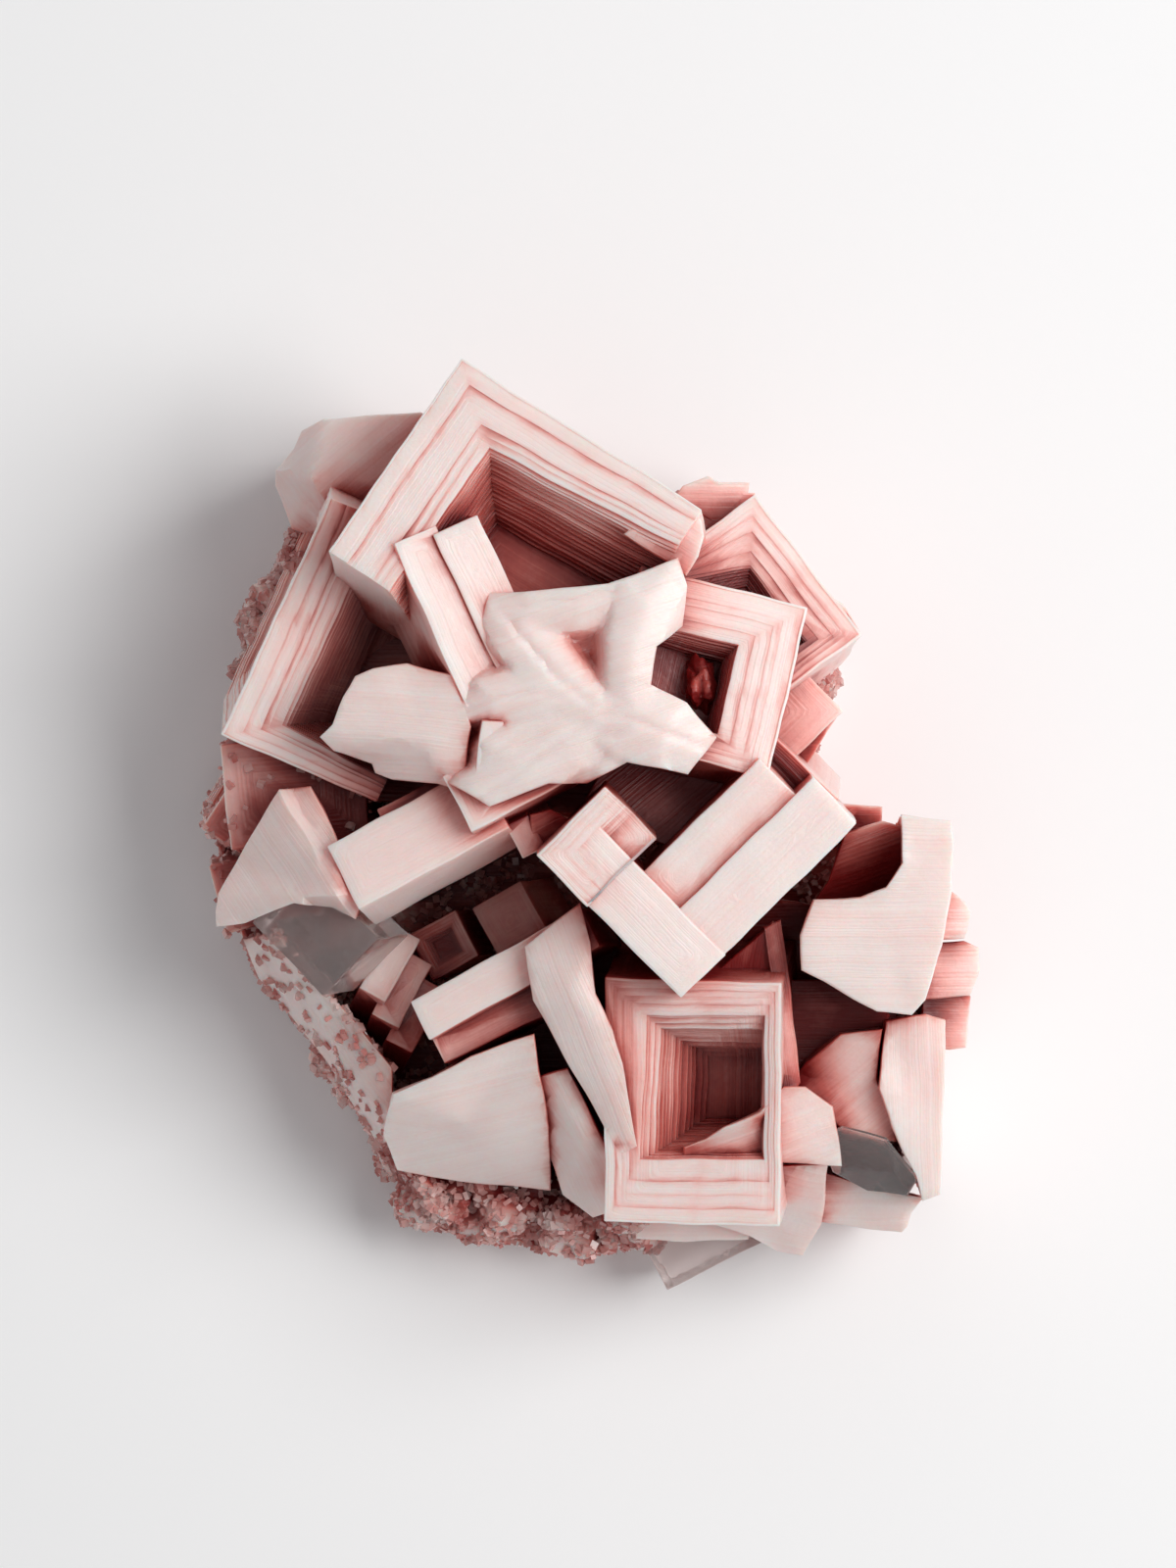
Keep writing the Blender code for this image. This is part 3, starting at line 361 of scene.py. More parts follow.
def face_lines(turned, size, open_ends):
    """Growth lines that run along the nearest edge of a crystal's face, as its layers were laid down."""
    inverse = np.array(turned.inverted())
    size = np.array(size)

    def lines(points, normals):
        local = points @ inverse[:3, :3].T + inverse[:3, 3]
        reach = np.minimum(local, np.where(open_ends + (False,), 1000.0, size - local))
        facing = np.abs(normals @ inverse[:3, :3].T).argmax(axis=1)
        reach[np.arange(len(points)), facing] = 1000.0
        return reach.min(axis=1)

    return lines


def crystal(corner, heading, rises, side, size, hollows=(), start=(0.0, 0.0, 0.0), tone=0.3, salt=0.0,
            open_ends=(False, False), bend=1.3, along=None):
    """A cube or bar of halite, placed by one corner of its top face, with a stepped hollow in each face named.

    rises are how steeply its two top edges climb from that corner; the second edge lies left of the first for
    side 1, right for side -1. open_ends says that its growth lines ignore its far ends.
    """
    slopes = [math.tan(math.radians(rise)) for rise in rises]
    between = math.degrees(math.acos(-slopes[0] * slopes[1]))
    first = heading_vector(heading, rises[0])
    second = heading_vector(heading + side * between, rises[1])
    down = first.cross(second).normalized() * -side
    place = Vector(corner) + first * start[0] + second * start[1] + down * start[2]
    faces = {
        "top": (place, first, second, down, (0, 1)),
        "first": (place, first, down, second, (0, 2)),
        "second": (place, second, down, first, (1, 2)),
        "first_far": (place + second * size[1], first, down, -second, (0, 2)),
        "second_far": (place + first * size[0], second, down, -first, (1, 2)),
    }
    turned = {}
    for name, (origin, u, v, w, _) in faces.items():
        turned[name] = Matrix.Translation(origin) @ Matrix((u, v, w)).transposed().to_4x4()
    bm = bmesh.new()
    bmesh.ops.create_cube(bm, size=1.0)
    unit = Matrix.Translation((0.5, 0.5, 0.5))
    bmesh.ops.transform(bm, matrix=Matrix.Diagonal((*size, 1.0)) @ unit, verts=bm.verts)
    bmesh.ops.bevel(bm, geom=bm.edges, offset=EDGE_WEAR, segments=2, profile=0.6, affect="EDGES")
    bmesh.ops.transform(bm, matrix=turned["top"], verts=bm.verts)
    solid = as_solid(bm, face_lines(turned["top"], size, open_ends), tone, salt)
    for face, rim, floor, depth, steps in hollows:
        reach = [size[axis] for axis in faces[face][4]]
        cutter = hollow_cutter(rim, floor, depth, steps, reach, bend)
        bmesh.ops.transform(cutter, matrix=turned[face], verts=cutter.verts)
        bmesh.ops.recalc_face_normals(cutter, faces=cutter.faces)
        mesh = bpy.data.meshes.new("hollow")
        cutter.to_mesh(mesh)
        cutter.free()
        tool = bpy.data.objects.new("hollow", mesh)
        bpy.context.scene.collection.objects.link(tool)
        joined(solid, tool, "DIFFERENCE")
    return solid


crystal((-19.3, -7.1, 32.0), 28.5, (3.0, -14.0), 1, (14.5, 6.2, 7.6), open_ends=(True, False))
crystal((-9.8, -0.6, 34.6), 28.0, (2.0, -6.0), 1, (9.6, 5.4, 6.0), tone=0.1, open_ends=(True, False))
crystal((-15.5, -3.4, 29.0), 28.0, (1.0, -10.0), 1, (13.0, 5.4, 16.0), tone=0.5)
block(
    [(-4.9, 1.0, 32.0), (-3.2, 1.4, 32.0), (-1.1, 0.2, 31.0), (-2.3, -1.3, 30.4), (-3.9, -2.6, 30.4), (-4.8, -1.7, 30.8)],
    22.0, heading=28.0, tone=0.4,
)
crystal((-7.0, -0.1, 31.5), -62.0, (-10.0, 0.0), 1, (3.2, 2.2, 7.0), tone=0.4)
block(
    [
        (-26.2, 3.1, 26.6), (-24.9, 3.2, 26.0), (-23.5, 3.3, 27.0), (-22.4, 1.4, 28.0), (-21.3, -1.1, 30.0),
        (-18.9, -6.4, 31.0), (-19.7, -7.9, 29.6), (-21.6, -6.9, 28.6), (-24.9, -6.6, 27.0),
        (-29.2, -8.3, 24.6), (-31.6, -8.6, 23.6), (-31.7, -7.3, 24.2), (-31.5, -5.8, 24.4),
        (-30.0, -3.2, 24.0), (-28.2, -0.2, 25.4),
    ],
    9.0, inset=1.5, peak=(-21.1, -6.0, 31.8), heading=-55.0, tone=0.45,
)
crystal((-15.0, -6.0, 14.0), 28.0, (0.0, -6.0), 1, (15.0, 6.0, 12.0), tone=0.9)
crystal(
    (-13.4, -13.4, 14.0), 28.0, (8.0, -4.0), 1, (4.6, 4.4, 12.0),
    [("top", square(1.0, 3.6, 1.0, 3.4), square(1.6, 3.0, 1.6, 2.8), 1.0, 4)], tone=0.8,
)
crystal((-7.6, -11.6, 15.0), 30.0, (14.0, -6.0), 1, (5.0, 5.0, 14.0), tone=0.8)
for i in range(3):
    crystal((-19.6 + 1.1 * i, -14.0 - 2.2 * i, 19.0 - 0.8 * i), 62.0, (-18.0, 0.0), -1, (6.5, 2.6, 14.0), tone=0.6)
crystal(
    (-33.2, -0.4, 16.0), 58.0, (6.0, -6.0), -1, (9.0, 10.0, 14.0),
    [("first", square(1.5, 7.5, 1.5, 9.0), square(3.0, 6.0, 3.5, 7.0), 1.2, 5)], tone=0.8, salt=0.15,
)
crystal((-31.5, 6.8, 20.5), -84.0, (-4.0, 4.0), 1, (9.0, 12.0, 18.0), tone=0.75, salt=0.1)
crystal((-32.6, -3.6, 14.5), -76.0, (-4.0, 3.0), 1, (6.0, 10.0, 12.0), tone=0.8, salt=0.2)
block(
    [
        (-29.7, -9.9, 14.0), (-28.4, -13.3, 12.0), (-26.5, -15.4, 11.0), (-22.3, -20.9, 11.0),
        (-18.1, -27.7, 12.0), (-16.4, -26.7, 18.0), (-16.8, -20.8, 19.0), (-20.1, -16.6, 18.0),
        (-23.6, -13.0, 20.0), (-25.9, -9.0, 22.0),
    ],
    1.0, inset=0.8, heading=-52.0, tone=0.75, salt=0.3,
)

# The crystals at the front: two slabs that cross in front of the cavern, the ribbed block below them, and the
# square hopper beside them, whose hollow goes down in a flight of square steps.
crystal((-15.1, -15.0, 26.2), 28.9, (10.0, 7.0), -1, (16.8, 3.6, 9.0), open_ends=(True, False))
crystal((-13.6, -17.4, 24.2), 26.0, (10.0, 5.0), -1, (11.0, 3.2, 9.0), tone=0.45)
block(
    [
        (-0.7, -6.6, 31.4), (0.2, -9.8, 31.8), (0.6, -14.3, 31.4), (2.1, -17.3, 30.8), (2.9, -20.2, 29.8),
        (4.2, -27.3, 26.8), (2.7, -28.0, 25.8), (1.5, -25.7, 26.4), (-2.1, -19.4, 28.6), (-4.6, -14.8, 30.0),
        (-5.4, -10.2, 30.0),
    ],
    12.0, inset=0.8, peak=(-0.8, -14.2, 32.0), heading=-68.0, tone=0.15,
)
block(
    [
        (-4.3, -21.5, 25.4), (-3.3, -21.1, 26.2), (-1.7, -20.6, 27.0), (0.0, -24.0, 26.0), (2.1, -28.2, 24.0),
        (3.0, -29.9, 22.0), (2.3, -33.0, 18.0), (0.4, -33.7, 16.0), (-2.1, -31.7, 17.0), (-3.3, -28.3, 19.0),
    ],
    5.0, inset=0.8, peak=(-0.6, -26.6, 24.6), heading=-64.0,
)
block(
    [
        (-16.7, -22.9, 24.6), (-13.3, -21.5, 26.0), (-10.0, -19.6, 27.2), (-4.6, -17.7, 28.6),
        (-4.0, -21.5, 26.2), (-3.3, -25.8, 22.6), (-3.2, -31.4, 15.6), (-11.0, -30.7, 14.0),
        (-16.4, -29.8, 13.6), (-17.5, -26.7, 17.8), (-17.1, -24.5, 21.8),
    ],
    3.0, inset=0.6, peak=(-10.2, -25.6, 21.6), heading=14.0,
)
crystal(
    (1.4, -12.9, 29.6), -1.5, (6.0, -14.0), -1, (15.0, 21.5, 15.0),
    [
        (
            "top",
            [(3.6, 3.2), (13.6, 3.0), (13.6, 15.6), (3.0, 16.0)],
            [(8.2, 9.0), (12.6, 9.0), (12.6, 14.4), (8.0, 14.4)],
            8.5, 16,
        ),
        ("first_far", square(3.0, 12.0, 3.0, 12.0), square(5.0, 10.0, 5.0, 10.0), 1.8, 8),
    ],
    tone=0.2,
)
block(
    [
        (8.1, -28.9, 25.0), (8.1, -27.4, 26.4), (10.0, -26.7, 27.0), (11.6, -25.6, 28.0), (14.5, -24.3, 28.4),
        (16.6, -22.2, 28.4), (18.4, -22.2, 28.0), (20.8, -23.9, 27.0), (21.6, -29.0, 25.0),
        (15.8, -28.6, 25.4), (9.6, -30.1, 24.6),
    ],
    10.0, heading=20.0,
)
block(
    [
        (8.1, -29.5, 24.0), (13.3, -29.0, 25.0), (20.4, -28.8, 25.0), (20.3, -31.7, 21.0), (20.0, -34.3, 17.0),
        (18.5, -37.1, 13.0), (16.4, -36.7, 13.0), (13.9, -35.3, 15.0), (8.4, -33.4, 18.0),
    ],
    2.0, inset=1.2, heading=-12.0,
)
block(
    [(4.0, -27.0, 18.0), (13.5, -28.0, 20.0), (13.8, -35.6, 14.0), (8.4, -36.0, 13.0), (4.2, -35.6, 14.0)],
    1.0, inset=0.8, heading=0.0,
)

# The crystals on the right: an open V of two beams over stepped treads, the pale block beside it, and the smooth
# blocks below.
V_CORNER = (7.8, -14.4, 36.0)
V_RISES = (2.0, 2.0)
crystal(
    V_CORNER, 44.5, V_RISES, 1, (20.8, 5.4, 16.0),
    [("first", square(3.0, 18.5, 3.0, 13.0), square(6.0, 15.5, 5.5, 10.5), 2.2, 9)],
    tone=0.1, open_ends=(True, False),
)
for i in range(4):
    crystal(
        V_CORNER, 44.5, V_RISES, 1, (14.2 - 0.9 * i, 4.6 - 1.0 * i, 12.0), start=(4.6, 5.1 + 1.0 * i, 0.7 * (i + 1)),
        tone=0.4, open_ends=(True, False),
    )
crystal(
    V_CORNER, 44.5, V_RISES, 1, (5.3, 17.0, 13.0),
    [("second", square(3.0, 14.0, 3.0, 11.0), square(6.0, 11.5, 5.0, 9.0), 1.0, 6)],
    start=(-0.12, -0.12, -0.12), tone=0.15, open_ends=(False, True),
)
crystal(
    V_CORNER, 44.5, V_RISES, 1, (8.2, 6.2, 9.0),
    [("top", square(3.0, 9.0, -1.0, 3.8), square(4.2, 9.0, -1.0, 2.6), 0.9, 4)],
    start=(-0.25, 10.9, -0.3), tone=0.15,
)
block([(10.4, -12.9, 26.4), (15.8, -8.1, 28.4), (16.4, -13.4, 27.0), (13.0, -14.5, 26.0)], 12.0, inset=0.3, tone=0.5, heading=80.0)
block(
    [(15.0, -8.6, 28.4), (16.4, -8.0, 28.4), (17.2, -14.0, 27.6), (18.0, -21.9, 26.4), (16.5, -24.0, 26.4), (15.9, -16.0, 27.4)],
    10.0, inset=0.2, heading=-82.0, tone=0.5,
)
block(
    [
        (19.0, -6.3, 32.2), (17.9, -9.3, 32.0), (18.0, -12.2, 31.2), (19.9, -13.2, 31.0), (22.4, -14.7, 31.0),
        (24.4, -15.8, 31.0), (27.3, -16.0, 31.0), (28.5, -14.7, 31.6), (29.9, -10.1, 32.2),
        (30.6, -5.6, 32.6), (30.9, -1.5, 33.0), (30.7, 0.4, 33.0), (26.4, 0.9, 33.2), (26.6, -3.1, 33.0),
        (25.2, -5.2, 32.6), (23.1, -6.0, 32.4),
    ],
    12.0, inset=1.0, tone=0.1, heading=0.0,
)
block(
    [
        (20.4, -4.8, 26.0), (21.7, -0.6, 29.0), (24.9, 0.3, 29.4), (27.0, -0.2, 29.4), (27.0, -5.6, 25.0),
        (19.1, -6.9, 24.0),
    ],
    10.0, tone=0.55, heading=20.0,
)
block([(21.1, 2.0, 24.0), (21.9, 1.8, 24.4), (25.0, 1.6, 24.4), (25.0, -0.3, 24.0), (20.9, -0.7, 24.0)], 4.0, tone=0.6)
block(
    [(29.0, -5.2, 25.4), (31.0, -5.7, 25.4), (32.1, -6.5, 25.0), (32.6, -7.5, 24.4), (32.0, -9.7, 24.4), (29.0, -9.8, 25.4)],
    9.0, inset=1.6, tone=0.3,
)
block(
    [(28.6, -10.0, 23.4), (32.0, -9.9, 23.0), (33.3, -10.5, 22.4), (33.5, -12.4, 22.4), (32.6, -14.5, 22.4), (28.6, -14.9, 23.4)],
    6.0, inset=1.6, tone=0.3,
)
block(
    [(28.7, -14.2, 20.0), (32.7, -14.6, 19.6), (32.4, -19.1, 19.2), (30.9, -19.3, 19.2), (28.3, -19.0, 20.0)],
    5.0, inset=1.2, tone=0.3,
)
block(
    [
        (25.2, -16.6, 27.0), (28.7, -16.0, 27.6), (30.4, -16.5, 27.0), (30.3, -20.6, 26.6), (30.0, -31.4, 24.2),
        (28.5, -32.0, 24.0), (27.9, -29.9, 24.6), (25.8, -25.6, 26.0), (24.7, -22.3, 27.0),
    ],
    2.0, inset=1.0, tone=0.35, heading=-88.0,
)
block(
    [
        (17.9, -21.1, 23.4), (18.5, -20.2, 24.4), (21.5, -17.7, 26.6), (24.9, -17.3, 27.4), (24.6, -21.5, 26.0),
        (26.3, -26.9, 24.2), (21.7, -26.1, 24.0), (19.6, -24.0, 24.6), (17.9, -22.5, 24.0),
    ],
    6.0, tone=0.5, heading=40.0,
)
block(
    [(17.0, -13.2, 20.0), (20.1, -13.2, 20.0), (25.8, -16.2, 21.4), (25.5, -18.3, 21.0), (20.9, -19.1, 20.0), (16.8, -21.6, 20.0)],
    6.0, tone=0.7,
)
block(
    [
        (20.0, -29.6, 20.6), (23.9, -30.9, 20.4), (28.7, -31.9, 19.2), (27.7, -33.4, 18.0), (27.4, -34.5, 17.4),
        (26.9, -35.0, 16.8), (20.0, -34.1, 16.6),
    ],
    3.0, inset=1.6, tone=0.35,
)

# The paler cubes at the back right, and the open frame round a hollow, coral-coloured by painted hollow shade, with a
# crumbly lump in it.
crystal(
    (14.3, 28.4, 24.0), 184.0, (4.0, 4.0), 1, (6.8, 9.0, 18.0),
    [("top", square(1.3, 5.6, 1.0, 4.0), square(2.0, 5.0, 1.8, 3.4), 1.0, 5)], tone=0.35,
)
block(
    [(7.4, 28.0, 25.0), (8.0, 28.8, 25.0), (10.2, 29.7, 25.0), (11.1, 29.2, 25.0), (13.8, 29.2, 24.0), (13.0, 24.0, 24.0)],
    6.0, tone=0.4,
)
crystal(
    (14.2, 28.1, 27.5), -52.8, (4.0, 9.0), -1, (15.0, 13.0, 16.0),
    [
        (
            "top",
            [(4.6, 4.1), (12.6, 4.1), (12.6, 16.0), (1.2, 10.8)],
            [(5.8, 5.2), (12.2, 5.2), (12.2, 16.0), (3.0, 12.0)],
            3.0, 8,
        ),
        ("first", square(3.0, 12.5, 3.0, 14.0), square(6.0, 10.0, 6.0, 11.0), 2.4, 9),
    ],
    tone=0.15,
)
block(
    [(23.1, 16.4, 28.0), (21.7, 15.6, 28.0), (20.4, 15.2, 27.6), (17.0, 16.0, 27.0), (18.0, 21.0, 28.0), (21.6, 18.8, 28.4)],
    8.0, inset=1.4, tone=0.2,
)
crystal(
    (18.6, 18.4, 33.0), 166.0, (5.0, 8.0), 1, (14.6, 15.0, 14.0),
    [
        ("top", square(5.0, 13.2, 4.6, 12.4), square(5.7, 12.6, 5.6, 11.8), 6.0, 9),
        ("second", square(3.0, 11.5, 3.0, 11.5), square(5.5, 9.0, 5.5, 9.0), 2.2, 9),
    ],
    tone=0.1,
)
lump((9.6, 12.0, 29.5), (1.3, 2.2, 2.4), 3, tone=0.3, salt=0.0)
crystal(
    (21.7, 9.6, 25.0), 133.0, (6.0, 4.0), 1, (9.0, 8.0, 15.0),
    [("second", square(2.0, 6.5, 2.5, 12.0), square(3.5, 5.0, 5.0, 9.5), 1.6, 6)], tone=0.4,
)
block(
    [(21.3, 9.4, 23.0), (20.0, 7.3, 24.0), (18.6, 4.9, 23.0), (17.1, 5.6, 23.0), (13.0, 10.0, 25.0), (18.0, 12.0, 25.0)],
    5.0, tone=0.5,
)
crystal(
    (21.3, 2.3, 27.0), 136.0, (3.0, -6.0), 1, (9.0, 4.2, 16.0),
    [("top", square(-1.0, 7.5, 1.3, 2.8), square(-1.0, 7.0, 1.7, 2.4), 1.0, 3)], tone=0.4, open_ends=(True, False),
)

# The big open frame at the back, the long frame on the left, the dull block behind them, and the soft striped
# pillar and the pointed block that stand in front of their hollows.
crystal(
    (-10.7, 39.4, 33.0), -32.3, (10.3, 10.3), -1, (24.4, 20.1, 17.0),
    [
        (
            "top",
            [(6.3, 5.25), (30.0, 3.2), (30.0, 30.0), (6.1, 30.0)],
            [(8.6, 8.6), (30.0, 8.0), (30.0, 30.0), (8.4, 30.0)],
            11.0, 18,
        ),
        ("first", square(3.5, 21.0, 3.0, 14.0), square(8.0, 17.0, 6.0, 11.0), 3.0, 10),
        ("second", square(3.0, 17.0, 3.0, 14.0), square(6.5, 13.5, 6.0, 11.0), 2.6, 10),
    ],
    tone=0.1, open_ends=(True, True),
)
block(
    [(7.4, 27.8, 37.0), (9.5, 25.7, 37.0), (9.7, 24.3, 37.2), (9.2, 22.6, 37.4), (8.2, 21.0, 37.2), (3.0, 24.5, 36.6)],
    24.0, inset=1.6, tone=0.1, heading=-32.0,
)
crystal(
    (-31.1, 7.7, 27.0), 65.1, (9.0, -5.7), -1, (22.4, 14.4, 16.0),
    [
        (
            "top",
            [(2.8, 4.4), (26.0, 4.4), (26.0, 24.0), (1.3, 24.0)],
            [(3.6, 9.4), (26.0, 9.4), (26.0, 24.0), (2.6, 24.0)],
            10.5, 18,
        ),
        ("first", square(3.0, 19.5, 3.0, 13.0), square(7.0, 15.5, 5.5, 10.5), 2.4, 10),
    ],
    tone=0.15, open_ends=(True, True),
)
block(
    [
        (-22.5, 34.6, 24.0), (-14.2, 35.1, 25.0), (-10.8, 33.5, 25.0), (-14.2, 26.8, 25.0),
        (-20.9, 22.4, 20.0), (-23.5, 24.8, 17.0), (-25.4, 25.5, 16.0), (-26.8, 29.1, 17.5),
        (-26.6, 30.3, 20.0), (-25.1, 32.1, 21.5), (-24.4, 33.6, 22.0),
    ],
    5.0, inset=1.2, peak=(-23.6, 29.4, 24.8), tone=0.45, heading=40.0,
)
block(
    [(-3.3, 33.6, 21.0), (-2.1, 34.6, 22.0), (-0.7, 34.6, 22.0), (-0.2, 33.1, 21.0), (-0.8, 30.7, 20.0)],
    4.0, tone=0.7,
)
crystal(
    (-9.0, 31.5, 17.0), -28.0, (-8.0, -4.0), -1, (15.0, 12.0, 14.0),
    [("first", square(2.5, 12.5, 2.5, 11.5), square(5.0, 10.0, 5.0, 9.0), 2.0, 8)], tone=0.6,
)
crystal((-16.3, 23.6, 37.4), -66.0, (-4.0, -14.0), 1, (15.0, 4.0, 12.0), tone=0.35, open_ends=(True, False))
crystal((-13.0, 24.4, 37.0), -65.0, (-4.0, -8.0), 1, (14.5, 4.2, 11.0), tone=0.35, open_ends=(True, False))
block(
    [
        (-22.6, 7.5, 33.0), (-21.5, 8.6, 33.8), (-20.6, 10.9, 34.2), (-19.6, 12.6, 34.4),
        (-18.1, 13.2, 34.8), (-15.2, 13.7, 35.2), (-11.4, 12.7, 36.2), (-9.8, 8.4, 36.2),
        (-10.6, 2.8, 33.6), (-12.8, 3.5, 32.4), (-16.5, 3.9, 31.2), (-17.9, 4.5, 31.0),
        (-18.2, 5.3, 31.4), (-21.5, 6.3, 32.0),
    ],
    20.0, inset=4.0, peak=(-14.0, 6.8, 35.4), heading=-5.0, tone=0.3,
)

# The star in the middle: leaf-like crystals that grew out of one root, low and soft, with a groove down each.
# Its top is carved from the arms' own spines: the nearest arm gives each point its height.
STAR_FALL = 2.2  # how steeply an arm's flank falls beyond its shoulder
STAR_BLEND = 0.16  # how softly two arms run into each other

star_arms = [
    # spine, half widths, groove, shoulder
    ([(9.2, 23.4, 37.8), (6.9, 21.8, 38.2), (3.3, 20.0, 38.6), (-0.8, 19.1, 38.4), (-4.9, 18.6, 37.8), (-9.0, 18.3, 36.6)], [1.9, 2.6, 3.0, 2.9, 2.2, 0.5], 0.25, 0.7),
    ([(6.6, 21.0, 38.6), (4.9, 18.6, 39.2), (3.8, 15.6, 39.4), (3.6, 12.6, 39.1), (3.3, 9.6, 38.4)], [2.0, 2.5, 2.3, 2.1, 1.6], 0.0, 0.6),
    ([(1.0, 9.4, 38.4), (3.8, 8.9, 38.9), (6.6, 7.8, 39.0), (9.4, 6.8, 38.4), (12.2, 6.1, 36.6)], [2.0, 3.4, 3.8, 3.0, 0.8], 0.25, 0.9),
    ([(4.1, 8.8, 38.2), (2.1, 7.0, 38.2), (0.6, 4.9, 37.4), (-0.4, 2.6, 35.6)], [1.5, 2.1, 2.0, 0.9], 0.3, 0.6),
    ([(1.8, 9.9, 38.4), (-2.1, 7.2, 37.9), (-5.8, 4.5, 37.0), (-9.1, 2.2, 36.0), (-12.4, 0.2, 34.8)], [1.8, 2.9, 2.8, 2.5, 2.0], 0.2, 0.6),
    ([(0.4, 10.7, 38.3), (-4.5, 11.3, 37.9), (-8.2, 10.7, 37.3), (-11.3, 9.4, 36.0)], [1.3, 2.0, 1.9, 0.8], 0.25, 0.5),
    ([(0.4, 10.2, 38.4), (-2.9, 12.8, 38.1), (-5.8, 16.2, 37.6), (-8.2, 19.5, 36.6)], [1.7, 2.4, 2.5, 1.7], 0.3, 0.6),
    ([(-4.5, 8.6, 37.4), (-7.4, 6.4, 37.0), (-9.2, 3.1, 35.4)], [1.3, 1.7, 1.0], 0.2, 0.5),
]


def arm_height(arm, point):
    """The height of one arm of the star over a point, falling away outside it."""
    spine, halves, groove, shoulder = arm
    best = None
    for (a, b), (half_a, half_b) in zip(zip(spine, spine[1:]), zip(halves, halves[1:])):
        a, b = Vector(a), Vector(b)
        run = Vector((b.x - a.x, b.y - a.y))
        share = min(1.0, max(0.0, (point - a.xy).dot(run) / run.length_squared))
        away = (point - a.xy - run * share).length
        half = half_a + (half_b - half_a) * share
        if best is None or away / half < best[0]:
            best = (away / half, away, half, a.z + (b.z - a.z) * share)
    beyond, away, half, crest = best
    height = crest - shoulder * min(beyond, 1.0) ** 1.6 - groove * math.exp(-((away / 0.32) ** 2))
    return height - STAR_FALL * max(0.0, away - half)


def star_relief(x, y, z):
    """The arms over the star's root, softly run together."""
    heights = np.array([z - 0.4] + [arm_height(arm, Vector((x, y))) for arm in star_arms])
    top = heights.max()
    return float(top + STAR_BLEND * math.log(np.exp((heights - top) / STAR_BLEND).sum()))


block(
    [
        (-8.3, 19.6, 36.0), (-3.3, 19.8, 37.0), (1.7, 20.3, 37.2), (7.5, 22.4, 37.0), (8.3, 20.1, 37.0),
        (8.0, 16.8, 37.0), (5.8, 15.1, 37.4), (5.2, 11.8, 37.2), (8.3, 10.3, 36.8), (10.8, 7.4, 35.6),
        (8.3, 4.3, 35.4), (3.3, 5.4, 36.2), (0.0, 3.5, 35.0), (-3.3, 3.5, 35.4), (-8.3, 1.6, 34.4),
        (-12.4, 3.9, 33.8), (-12.4, 11.8, 35.8), (-10.1, 12.6, 36.2),
    ],
    18.0, inset=1.8, relief=star_relief, spacing=0.42, tone=0.12, heading=20.0,
)
crystal((-8.9, 8.9, 37.0), -97.0, (-14.0, -6.0), 1, (6.0, 1.9, 5.0), tone=0.2)

# The cluster: all of these solids are one growth, so they are joined into one closed skin. It is meshed evenly
# and waved a little, because no face of a natural crystal is dead flat.
LONGEST_EDGE = 1.15
HOLLOW_REACH = 13.0  # how far off a neighbouring wall still shades and deepens the colour
HOLLOW_RAYS = 26
WAVES = [
    # direction, wavelength and height of each gentle wave in the faces
    ((0.8, 0.5, 0.3), 9.0, 0.05), ((-0.5, 0.8, 0.4), 7.1, 0.05), ((0.2, -0.6, 0.8), 6.2, 0.04),
    ((0.9, -0.3, -0.4), 4.3, 0.03), ((-0.3, -0.9, 0.3), 3.4, 0.025), ((0.4, 0.4, -0.8), 2.6, 0.02),
]


def finer(points, faces, owner, longest):
    """Halves every edge that is too long until none is, so that the skin is evenly meshed."""
    for _ in range(7):
        sides = np.sort(faces[:, [[0, 1], [1, 2], [2, 0]]], axis=2).reshape(-1, 2)
        code, first_seen, index = np.unique(sides[:, 0] * len(points) + sides[:, 1], return_index=True, return_inverse=True)
        edges = sides[first_seen]
        long = np.linalg.norm(points[edges[:, 0]] - points[edges[:, 1]], axis=1) > longest
        if not long.any():
            break
        middle = np.full(len(edges), -1)
        middle[long] = len(points) + np.arange(long.sum())
        points = np.vstack((points, points[edges[long]].mean(axis=1)))
        mids = middle[index.reshape(-1, 3)]
        split = mids >= 0
        count = split.sum(axis=1)
        turn = np.where(count == 1, split.argmax(axis=1), np.where(count == 2, split.argmin(axis=1) + 1, 0))
        order = (turn[:, None] + np.arange(3)) % 3
        a, b, c = np.take_along_axis(faces, order, axis=1).T
        ab, bc, ca = np.take_along_axis(mids, order, axis=1).T
        parts = []
        for number, triangles in (
            (0, [(a, b, c)]),
            (1, [(a, ab, c), (ab, b, c)]),
            (2, [(ab, b, bc), (a, ab, bc), (a, bc, c)]),
            (3, [(a, ab, ca), (ab, b, bc), (ca, bc, c), (ab, bc, ca)]),
        ):
            chosen = count == number
            parts += [(np.stack(triangle, axis=1)[chosen], owner[chosen]) for triangle in triangles]
        faces = np.vstack([part[0] for part in parts])
        owner = np.concatenate([part[1] for part in parts])
    return points, faces, owner


def mesh_arrays(mesh):
    """A mesh's points and triangles."""
    mesh.calc_loop_triangles()
    points = np.empty(len(mesh.vertices) * 3)
    mesh.vertices.foreach_get("co", points)
    faces = np.empty(len(mesh.loop_triangles) * 3, int)
    mesh.loop_triangles.foreach_get("vertices", faces)
    return points.reshape(-1, 3), faces.reshape(-1, 3)


def waved(points):
    """Points moved a little by gentle waves, the same for neighbours."""
    moved = points.copy()
    for k, (direction, length, height) in enumerate(WAVES):
        direction = np.array(direction)
        phase = np.sin(points @ direction * (2.0 * math.pi / length) + 1.7 * k)
        moved += phase[:, None] * np.roll(direction, k + 1) * height
    moved[:, 2] = np.where(points[:, 2] < 0.01, 0.0, np.maximum(moved[:, 2], 0.02))
    return moved


